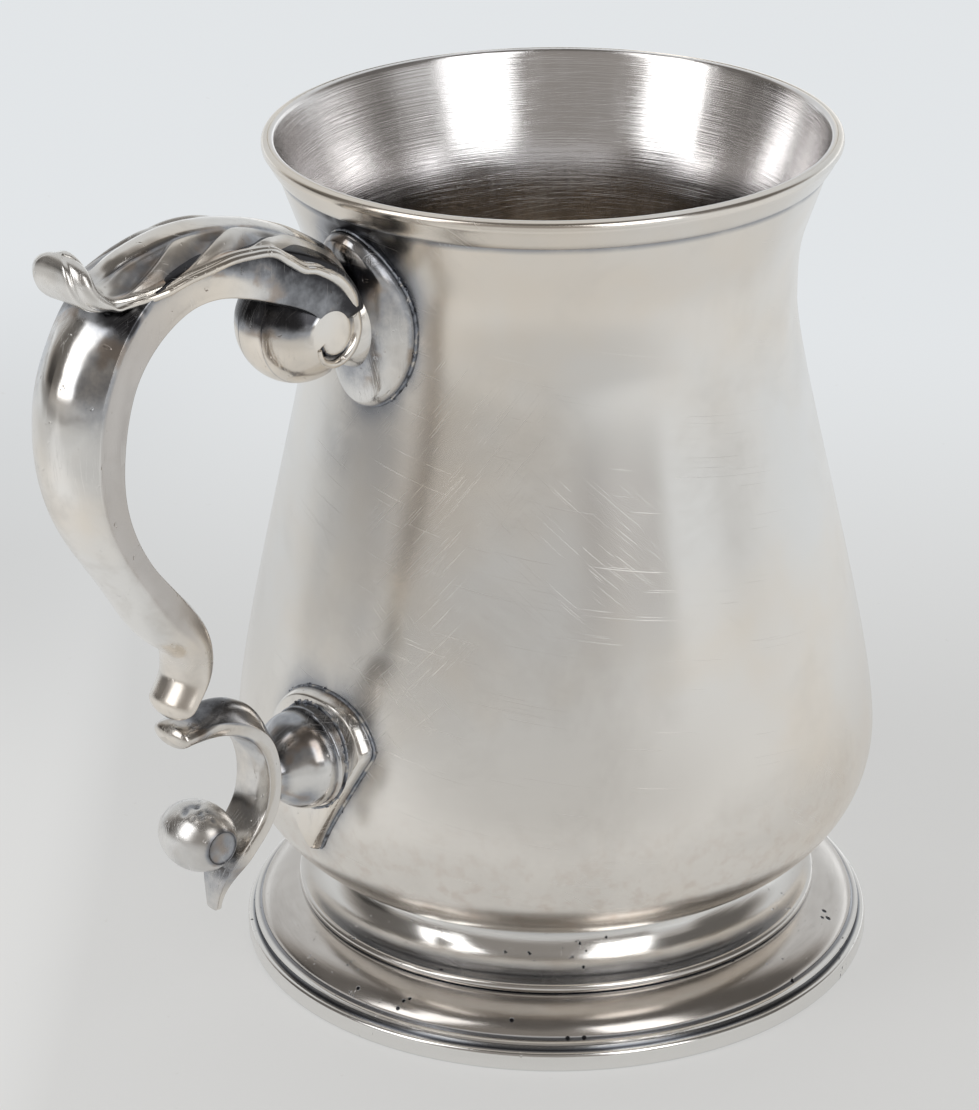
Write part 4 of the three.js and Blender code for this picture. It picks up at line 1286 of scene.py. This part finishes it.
def make_grip(form, look):
    """The upper scroll in its two halves."""
    line = even(grip_line(LINE_STEPS)[:LINE_STEPS - TOE_TRIM], GRIP_STEPS)
    t = np.linspace(0, 1, GRIP_STEPS + 1)
    width, depth = grip_size(t)
    width = width + 0.6 + 0.6 * smooth(t, 0.2, 0.4) - 1.2 * smooth(t, 0.78, 0.95)
    width = width + 0.9 * (1 - smooth(t, 0.07, 0.18))
    section = scroll_section(0.1)
    sections = blended(scroll_section(0.0), section, smooth(t, 0.1, 0.2))
    sections = blended(sections, scroll_section(0.1, 0.25), smooth(t, 0.3, 0.46))
    sections = blended(sections, oval(sections), smooth(t, 0.78, 0.93))
    deeper = 1.3 * (1 - smooth(t, 0.12, 0.32))
    fuller = 1.5 * bump(t - 0.85, 0.07)
    depth = depth + deeper + fuller + 0.5 * smooth(t, 0.88, 0.96)
    line = beside(line, fuller - deeper)
    line[:, 0] += 3.0 * smooth(t, 0.962, 1.035) - 0.06 - 1.5 * smooth(t, 0.74, 0.9)
    grid = sweep(line, sections, width, depth, 1, (1.5, 2.2))
    at = ring_shares(grid)
    across, up = section[None, :, 0], section[None, :, 1]
    grid[..., 2] += 3.0 * smooth(at, 0.93, 1.0) * smooth(-up, -0.6, 0.9)
    crown = smooth(up, 0.35, 0.6)
    reach = 0.11 + 0.14 * smooth(up, -0.6, 0.6)
    tarnish = 0.72 * (1 - smooth(at - reach, 0.0, 0.1)) + 0.4 * smooth(up, 0.3, 0.65) * (at < 0.37)
    tarnish = tarnish + 0.7 * smooth(np.arange(len(grid))[:, None], len(grid) - 4, len(grid) - 1)
    # Painted shade on the grip under the leaf's edges, by distance from them.
    folded = np.stack([grid[..., 0], np.abs(grid[..., 1]), grid[..., 2]], axis=-1)
    gap = np.linalg.norm(folded[:, :, None] - leaf_rim(120), axis=-1).min(axis=-1)
    tarnish = tarnish + 0.7 * bump(gap, 0.7) + 0.3 * bump(gap, 2.2)
    # Painted shade in a band across the crown under the leaf's tip.
    tarnish = tarnish + 0.85 * crown * bump(at - 0.39, 0.02)
    # Painted dark reflections along both edges of the crown at the bow.
    tarnish = tarnish + 0.5 * crown * (1 - bump(across, 0.5)) * bump(at - 0.46, 0.06)
    bar = skin(in_handle(grid), {
        "tarnish": np.clip(tarnish, 0, 1),
        "dull": 0.75 * (1 - smooth(up, 0.55, 0.72)) * between(at, (0.24, 0.4), (0.84, 0.94)),
        "satin": 0.6 * smooth(at, 0.9, 0.96),
    })
    halves(joined(bar, volute_surface(), spiral_band(1), spiral_band(-1)), bpy.data.materials["handle_metal"])


# Leaf

def leaf_rim(count):
    """One edge of the leaf as distance out, sideways and height."""
    s = np.linspace(0, 1, count + 1)
    edge = through(LEAF_EDGE, count)
    return np.stack([edge[:, 0], np.interp(s, *np.array(LEAF_HALF).T), edge[:, 1]], axis=1)


def leaf_top(form, s, t, tip, close):
    """The leaf's upper face by shares of its length and width, with its heading, hollows and grooves."""
    crown = through(LEAF_CROWN, LEAF_STEPS)[:, None]
    edge = through(LEAF_EDGE, LEAF_STEPS)[:, None]
    half = np.interp(s, *np.array(LEAF_HALF).T) * (0.1 + 0.9 * close)
    across = np.abs(t)
    ridge, spread = 0.18, np.pi / 2 * 0.92
    roof = (np.hypot(t, ridge) - ridge) / (math.hypot(1, ridge) - ridge)
    plane = crown + (edge - crown) * (roof ** (1.15 + 0.5 * tip))[..., None]
    aside = half * (np.sin(t * spread) / math.sin(spread))
    top = np.stack([plane[..., 0], aside, plane[..., 1]], axis=-1)
    normal = np.cross(np.gradient(top, axis=0), np.gradient(top, axis=1))
    normal /= np.linalg.norm(normal, axis=-1, keepdims=True) + 1e-12
    normal *= np.sign(normal[LEAF_STEPS // 2, LEAF_COLUMNS // 2, 2])
    phase = (s - 0.42 * across**0.62 + 0.135) / form.flute_pitch
    hollow = between(1 - phase + np.floor(phase), (0.05, 0.8), (0.84, 1.0))
    depth = between(across, (0.24, 0.4), (0.76, 0.9)) * between(s, (0.16, 0.4), (0.78, 0.92))
    depth = depth * (1 - 0.45 * smooth(s, 0.5, 0.72))
    groove = bump(across - 0.25, 0.045) * smooth(s, 0.05, 0.2) * (1 - tip)
    edges = 0.45 * bump(across - 0.97, 0.1) + 0.4 * bump(across, 0.16)
    push = form.flute_depth / MM * (0.25 - hollow) * depth + edges * (1 - tip) - 0.25 * groove
    return top + normal * (push * (1 - tip))[..., None], heading(crown[:, 0]), hollow, depth, groove


def make_leaf(form, look):
    """The acanthus leaf: flutes slanting from its midrib to a rolled wavy edge, and a tip that curls up."""
    s = np.linspace(0, 1, LEAF_STEPS + 1)[:, None]
    t = np.linspace(-1, 1, LEAF_COLUMNS)[None]
    across = np.abs(t)
    tip = smooth(s, 0.8, 0.93)
    close = np.sqrt(1 - np.clip((s - 0.93) / 0.07, 0, 1) ** 3)
    top, along, hollow, depth, groove = leaf_top(form, s, t, tip, close)
    lower = np.stack([along[:, 1], np.zeros(len(along)), -along[:, 0]], axis=1)[:, None]
    full = 1.2 + 2.8 * smooth(s, 0.83, 0.95) * np.sqrt(1 - 0.75 * across**4)
    thick = full * (0.1 + 0.9 * close)
    top = top + lower * (0.5 * tip * close * (1 - across**2) + (full - thick) / 2)[..., None]
    under = top + lower * thick[..., None]
    outward = np.array([(0, -1, 0), (0, 1, 0)])[None] * ((0.6 + 1.2 * tip) * close)[..., None]
    middle = (top[:, [0, -1]] + under[:, [0, -1]]) / 2
    rise = (top[:, [0, -1]] - under[:, [0, -1]]) / 2
    rims = np.stack([
        middle + rise * math.cos(a) + outward * math.sin(a)
        for a in np.radians(np.linspace(18, 162, LEAF_EDGE_ROWS))
    ], axis=1)
    grid = np.concatenate([rims[:, ::-1, 0], top, rims[:, :, 1], under[:, ::-1]], axis=1)
    dark = hollow**1.2 * depth * 0.6 + 0.5 * groove + 0.3 * tip * close * bump(across, 0.4)
    shade = 0.26 * between(s, (0.56, 0.76), (0.84, 0.9)) * smooth(across, 0.24, 0.34)
    dark = np.clip(np.clip(dark, 0, 1) + shade, 0, 1) * (1 - bump(across - 0.98, 0.12))
    shape = grid.shape[:2]
    face = slice(LEAF_EDGE_ROWS, LEAF_EDGE_ROWS + LEAF_COLUMNS)
    tarnish, gold, satin = np.zeros(shape), np.zeros(shape), 0.4 * tip * np.ones(shape)
    tarnish[:, face] = dark
    tarnish[:, face.stop + LEAF_EDGE_ROWS:] = 0.6 * (1 - smooth(s, 0.7, 0.84))
    satin[:, face] += between(across, (0.2, 0.3), (0.88, 0.95)) * (1 - smooth(s, 0.84, 0.92))
    gold[:, face] = bump(across - 0.86, 0.03) * between(s, (0.2, 0.3), (0.8, 0.88)) * hollow
    surface = skin(in_handle(grid), {"tarnish": tarnish, "satin": satin, "gold": gold})
    leaf = piece("leaf_silver", surface, bpy.data.materials["handle_metal"], LEAF_SHARP)
    dress(leaf, "handle_silver", "leaf_cap")


# Lower scroll

def make_strap(form, look):
    """The C-shaped strap with its rolled nose and pointed tail."""
    line = strap_line(STRAP_STEPS)
    t = np.linspace(0, 1, STRAP_STEPS + 1)
    taper = smooth(t, 0.78, 1.02)
    nose = 1 - smooth(t, 0.0, 0.34)
    domed = between(t, (0.04, 0.22), (0.26, 0.46))
    width = (STRAP_WIDTH + (TAIL_WIDTH - STRAP_WIDTH) * taper) / 2
    depth = (STRAP_DEPTH + (TAIL_DEPTH - STRAP_DEPTH) * taper) / 2 + 0.35 * nose + domed
    section = scroll_section(0.06)
    sections = blended(section, scroll_section(0.06, 0.0), domed)
    sections = blended(sections, oval(sections), nose)
    grid = sweep(beside(line, -domed), sections, width, depth, -1, (1.3, 0.8))
    at = ring_shares(grid)
    inner = smooth(-section[None, :, 1], 0.5, 0.9)
    crown = smooth(section[None, :, 1], 0.4, 0.8)
    # Painted dark reflections on the inner face of the curl and on the top under the grip's toe, over an even
    # tarnish.
    tarnish = 0.12 + inner * (0.1 + 0.5 * bump(at - 0.27, 0.08)) + 0.7 * crown * bump(at - 0.15, 0.1)
    tarnish = tarnish + 0.3 * bump(at - 0.87, 0.05) + 0.4 * bump(at - 0.07, 0.03)
    surface = skin(in_handle(grid), {"tarnish": tarnish})
    strap = piece("lower_scroll_silver", surface, bpy.data.materials["handle_metal"])
    dress(strap, "handle_silver", "lower_scroll")


def make_bulb(form, look):
    """The dented bulb in the strap's curl."""
    line = even(strap_line(STRAP_STEPS), 1000)
    seat = beside(line, STRAP_DEPTH / 2 + SEAM + BULB_RADIUS - BULB_SEAT)[round(BULB_SHARE * 1000)]
    centre = seat + BULB_SHIFT
    eye = bezier([(0.05, BULB_HALF - 0.25), (BULB_EYE - 0.5, BULB_HALF - 0.3), (BULB_EYE, BULB_HALF)], 10)
    profile = barrel(BULB_RADIUS, BULB_HALF, BULB_EYE, eye, 30)
    reach, aside = profile[:, :1], profile[:, 1:]
    way = np.radians(np.arange(0, 360, 4))
    push = np.zeros((len(profile), len(way)))
    chance = np.random.default_rng(7)
    turns = chance.normal(78, 17, BULB_DENTS)
    sides = chance.normal(0, 1.5, BULB_DENTS)
    sizes = chance.uniform(0.3, 0.9, BULB_DENTS)
    for turn, side, size in zip(turns, sides, sizes):
        gap = np.hypot((way - math.radians(turn)) * BULB_RADIUS, aside + side)
        push += 0.24 * size * bump(gap, 0.6 * size)
    radius = reach - push
    grid = np.stack([
        centre[0] + radius * np.cos(way), aside * np.ones(len(way)), centre[1] + radius * np.sin(way),
    ], axis=-1)
    ring = bump(reach - BULB_EYE, 0.3) * (np.abs(aside) > BULB_HALF - 0.6)
    disc = 0.3 * (np.abs(aside) > BULB_HALF - 0.4) * (reach < BULB_EYE)
    marks = {"tarnish": np.clip(0.16 + 1.8 * push + 0.5 * ring + disc, 0, 1), "satin": 0.5}
    bulb = piece("lower_bulb_silver", skin(in_handle(grid), marks), bpy.data.materials["handle_metal"])
    dress(bulb, "handle_silver", "lower_bulb")


# Studio

def to_frame(vector):
    """A direction of the camera's side, given as right, away and up, in the mug's frame."""
    x_axis = Vector((math.sin(HANDLE_TURN), math.cos(HANDLE_TURN), 0))
    y_axis = Vector((-math.cos(HANDLE_TURN), math.sin(HANDLE_TURN), 0))
    v = Vector(vector)
    return Vector((v.dot(x_axis), v.dot(y_axis), v.z))


def sky_way(azimuth, elevation):
    """A direction by degrees right of the camera and above the table, from the mug."""
    a, e = math.radians(azimuth), math.radians(elevation)
    return to_frame((math.sin(a) * math.cos(e), -math.cos(a) * math.cos(e), math.sin(e)))


def make_camera():
    """The camera in front of the mug and above it, turned by its yaw, dip and roll."""
    back = Vector((0, -math.cos(CAMERA_RISE), math.sin(CAMERA_RISE)))
    dip = CAMERA_RISE + CAMERA_DIP
    level = math.cos(dip)
    ahead = Vector((math.sin(CAMERA_YAW) * level, math.cos(CAMERA_YAW) * level, -math.sin(dip)))
    right = ahead.cross(Vector((0, 0, 1))).normalized()
    up = right.cross(ahead)
    side = right * math.cos(CAMERA_ROLL) + up * math.sin(CAMERA_ROLL)
    head = up * math.cos(CAMERA_ROLL) - right * math.sin(CAMERA_ROLL)
    place = to_frame(Vector((0, 0, MUG_HEIGHT / 2)) + back * CAMERA_DISTANCE) + Vector((AXIS, 0, 0))
    side, head, ahead = to_frame(side), to_frame(head), to_frame(ahead)
    lens = bpy.data.cameras.new("camera")
    lens.sensor_width = SENSOR
    lens.lens = SENSOR * CAMERA_FOCAL_PIXELS / PICTURE_HEIGHT
    lens.clip_start, lens.clip_end = 0.01, 20
    camera = linked("camera", lens)
    turn = Matrix((side, head, -ahead)).transposed().to_4x4()
    camera.matrix_world = Matrix.Translation(place * MM) @ turn
    bpy.context.scene.camera = camera


def softbox(name, azimuth, elevation, power):
    """A rectangular lamp that faces the mug."""
    lamp = bpy.data.lights.new(name, "AREA")
    lamp.shape = "RECTANGLE"
    lamp.size, lamp.size_y = LAMP_SIZE
    lamp.energy = power
    box = linked(name, lamp)
    way = sky_way(azimuth, elevation)
    middle = Vector((AXIS, 0, MUG_HEIGHT / 2)) * MM
    box.location = middle + way * LAMP_DISTANCE
    box.rotation_euler = way.to_track_quat("Z", "Y").to_euler()


def make_room(look):
    """A dim warm room, paler near the table and behind the mug, with softer and darker stretches low down."""
    world = bpy.data.worlds.new("room")
    world.use_nodes = True
    bpy.context.scene.world = world
    n = Nodes(world.node_tree)
    ray = n.node("ShaderNodeTexCoord", {}, {}, "Generated")
    right, front = n.dot(ray, to_frame((1, 0, 0))), n.dot(ray, to_frame((0, -1, 0)))
    up = n.dot(ray, (0, 0, 1))
    way = right.math("ARCTAN2", right, front) * (180 / math.pi)
    rise = up.math("ARCSINE", up, 0.0) * (180 / math.pi)
    turn, step = abs(way), n.step
    level = look.room_level + step(rise, 12, -2) * 0.38 + step(turn, 60, 30) * step(rise, 60, 40) * 0.14
    level = level + step(turn, 108, 136) * step(rise, 84, 58) * 0.55
    level = level + step(way, 82, 106) * step(rise, 20, 4) * 0.3
    level = level + step(way, 44, 50) * step(way, 76, 68) * step(rise, 26, 16) * 0.35
    level = level - step(way, 4, 18) * step(way, 52, 42) * step(rise, 14, 4) * 0.2
    level = level - step(way, -84, -96) * step(way, -140, -124) * step(rise, 14, 2) * 0.34
    warm = n.blend(step(level, 0.2, 0.8), (1.0, 0.93, 0.86), (0.97, 0.99, 1.0))
    tint = n.node("ShaderNodeVectorMath", {"operation": "SCALE"}, {0: warm, "Scale": level})
    light = n.node("ShaderNodeBackground", {}, {"Color": tint, "Strength": 1.0})
    n.node("ShaderNodeOutputWorld", {}, {"Surface": light})


def make_stage(form, look):
    """The table, the lamps, the room and the camera."""
    mesh = bpy.data.meshes.new("table")
    work = bmesh.new()
    bmesh.ops.create_grid(work, x_segments=8, y_segments=8, size=TABLE_HALF)
    work.to_mesh(mesh)
    work.free()
    mesh.materials.append(table_finish(look))
    table = linked("table", mesh)
    for name, (azimuth, elevation) in LAMPS.items():
        softbox(name, azimuth, elevation, look.lamp_power)
    make_room(look)
    make_camera()
    bpy.context.scene.view_settings.view_transform = "Standard"


# Add-on

class MugForm(bpy.types.PropertyGroup):
    """Sizes of the mug's finished surfaces."""

    segments: bpy.props.IntProperty(
        name="Turned Segments", description="Facets round the bowl and the foot", default=240,
        min=48, max=480)
    flute_pitch: bpy.props.FloatProperty(
        name="Flute Pitch", description="Share of the leaf's length from flute to flute", default=0.19,
        min=0.05, max=0.5, subtype="FACTOR")
    flute_depth: bpy.props.FloatProperty(
        name="Flute Depth", description="Depth of the leaf's flutes", default=0.0015, min=0, unit="LENGTH")


class MugLook(bpy.types.PropertyGroup):
    """Colours, roughness and light."""

    silver_warm: bpy.props.FloatVectorProperty(
        name="Warm Silver", description="Silver where polishing left it yellowish", subtype="COLOR",
        default=(0.85, 0.785, 0.7), min=0, max=1)
    silver_cool: bpy.props.FloatVectorProperty(
        name="Cool Silver", description="Clean silver", subtype="COLOR",
        default=(0.84, 0.83, 0.81), min=0, max=1)
    silver_dull: bpy.props.FloatVectorProperty(
        name="Dull Silver", description="Silver under a thin tarnish", subtype="COLOR",
        default=(0.66, 0.63, 0.59), min=0, max=1)
    # This dark colour also paints shade and dark reflections on the bowl and handle.
    tarnish: bpy.props.FloatVectorProperty(
        name="Tarnish", description="Dark sulphide in hollows and seams", subtype="COLOR",
        default=(0.05, 0.05, 0.055), min=0, max=1)
    tarnish_light: bpy.props.FloatVectorProperty(
        name="Light Tarnish", description="Blue-grey film round hollows and seams", subtype="COLOR",
        default=(0.3, 0.32, 0.36), min=0, max=1)
    table: bpy.props.FloatVectorProperty(
        name="Table", description="Colour of the table", subtype="COLOR",
        default=(0.86, 0.865, 0.865), min=0, max=1)
    table_near: bpy.props.FloatVectorProperty(
        name="Table in Front", description="Pale tone of the table towards the camera", subtype="COLOR",
        default=(0.77, 0.77, 0.76), min=0, max=1)
    table_far: bpy.props.FloatVectorProperty(
        name="Table Behind", description="Pale tone of the table far behind the mug", subtype="COLOR",
        default=(0.775, 0.8, 0.82), min=0, max=1)
    body_roughness: bpy.props.FloatProperty(
        name="Bowl Roughness", description="How satin the bowl is", default=0.2,
        min=0, max=1, subtype="FACTOR")
    handle_roughness: bpy.props.FloatProperty(
        name="Handle Roughness", description="How satin the handle is", default=0.15,
        min=0, max=1, subtype="FACTOR")
    foot_roughness: bpy.props.FloatProperty(
        name="Foot Roughness", description="How satin the foot is", default=0.15,
        min=0, max=1, subtype="FACTOR")
    lamp_power: bpy.props.FloatProperty(
        name="Lamp Power", description="Power of each softbox", default=2.15, min=0, subtype="POWER")
    room_level: bpy.props.FloatProperty(
        name="Room Level", description="Brightness of the dim room", default=0.13, min=0, max=1)


def run(context, *makers):
    """Runs the makers of a group of pieces with the scene's settings."""
    for make in makers:
        make(context.scene.mug_form, context.scene.mug_look)
    return {"FINISHED"}


class MUG_OT_bowl(bpy.types.Operator):
    """Make the bowl and its rim band"""

    bl_idname = "mug.bowl"
    bl_label = "Bowl and Rim"
    bl_options = {"REGISTER", "UNDO"}

    def execute(self, context):
        return run(context, make_bowl, make_rim)


class MUG_OT_foot(bpy.types.Operator):
    """Make the foot and its base wire"""

    bl_idname = "mug.foot"
    bl_label = "Foot"
    bl_options = {"REGISTER", "UNDO"}

    def execute(self, context):
        return run(context, make_foot_dome, make_foot_wire)


class MUG_OT_sockets(bpy.types.Operator):
    """Make the plates, the bosses and their solder"""

    bl_idname = "mug.sockets"
    bl_label = "Sockets"
    bl_options = {"REGISTER", "UNDO"}

    def execute(self, context):
        return run(context, make_plates, make_upper_boss, make_lower_boss, make_solder)


class MUG_OT_grip(bpy.types.Operator):
    """Make the upper scroll in its two cast halves"""

    bl_idname = "mug.grip"
    bl_label = "Upper Scroll"
    bl_options = {"REGISTER", "UNDO"}

    def execute(self, context):
        return run(context, make_grip)


class MUG_OT_leaf(bpy.types.Operator):
    """Make the acanthus leaf"""

    bl_idname = "mug.leaf"
    bl_label = "Leaf"
    bl_options = {"REGISTER", "UNDO"}

    def execute(self, context):
        return run(context, make_leaf)


class MUG_OT_lower_scroll(bpy.types.Operator):
    """Make the lower scroll and its bulb"""

    bl_idname = "mug.lower_scroll"
    bl_label = "Lower Scroll"
    bl_options = {"REGISTER", "UNDO"}

    def execute(self, context):
        return run(context, make_strap, make_bulb)


class MUG_OT_stage(bpy.types.Operator):
    """Make the table, lamps, room and camera"""

    bl_idname = "mug.stage"
    bl_label = "Studio"
    bl_options = {"REGISTER", "UNDO"}

    def execute(self, context):
        return run(context, make_stage)


OPERATORS = (
    MUG_OT_bowl, MUG_OT_foot, MUG_OT_sockets, MUG_OT_grip, MUG_OT_leaf, MUG_OT_lower_scroll, MUG_OT_stage,
)


class MUG_PT_panel(bpy.types.Panel):
    """Lists the mug's pieces and their settings"""

    bl_label = "Silver Mug"
    bl_idname = "MUG_PT_panel"
    bl_space_type = "VIEW_3D"
    bl_region_type = "UI"
    bl_category = "Mug"

    def draw(self, context):
        for group in (context.scene.mug_form, context.scene.mug_look):
            for name in group.__annotations__:
                self.layout.prop(group, name)
        for operator in OPERATORS:
            self.layout.operator(operator.bl_idname)


CLASSES = (MugForm, MugLook, *OPERATORS, MUG_PT_panel)


def register():
    """Adds the mug's classes and settings to Blender."""
    for cls in CLASSES:
        bpy.utils.register_class(cls)
    bpy.types.Scene.mug_form = bpy.props.PointerProperty(type=MugForm)
    bpy.types.Scene.mug_look = bpy.props.PointerProperty(type=MugLook)


def unregister():
    """Takes the mug's settings and classes out again."""
    del bpy.types.Scene.mug_look
    del bpy.types.Scene.mug_form
    for cls in reversed(CLASSES):
        bpy.utils.unregister_class(cls)


def main():
    """Builds every piece in order."""
    register()
    bpy.ops.mug.bowl()
    bpy.ops.mug.foot()
    bpy.ops.mug.sockets()
    bpy.ops.mug.grip()
    bpy.ops.mug.leaf()
    bpy.ops.mug.lower_scroll()
    bpy.ops.mug.stage()


if __name__ == "__main__":
    main()
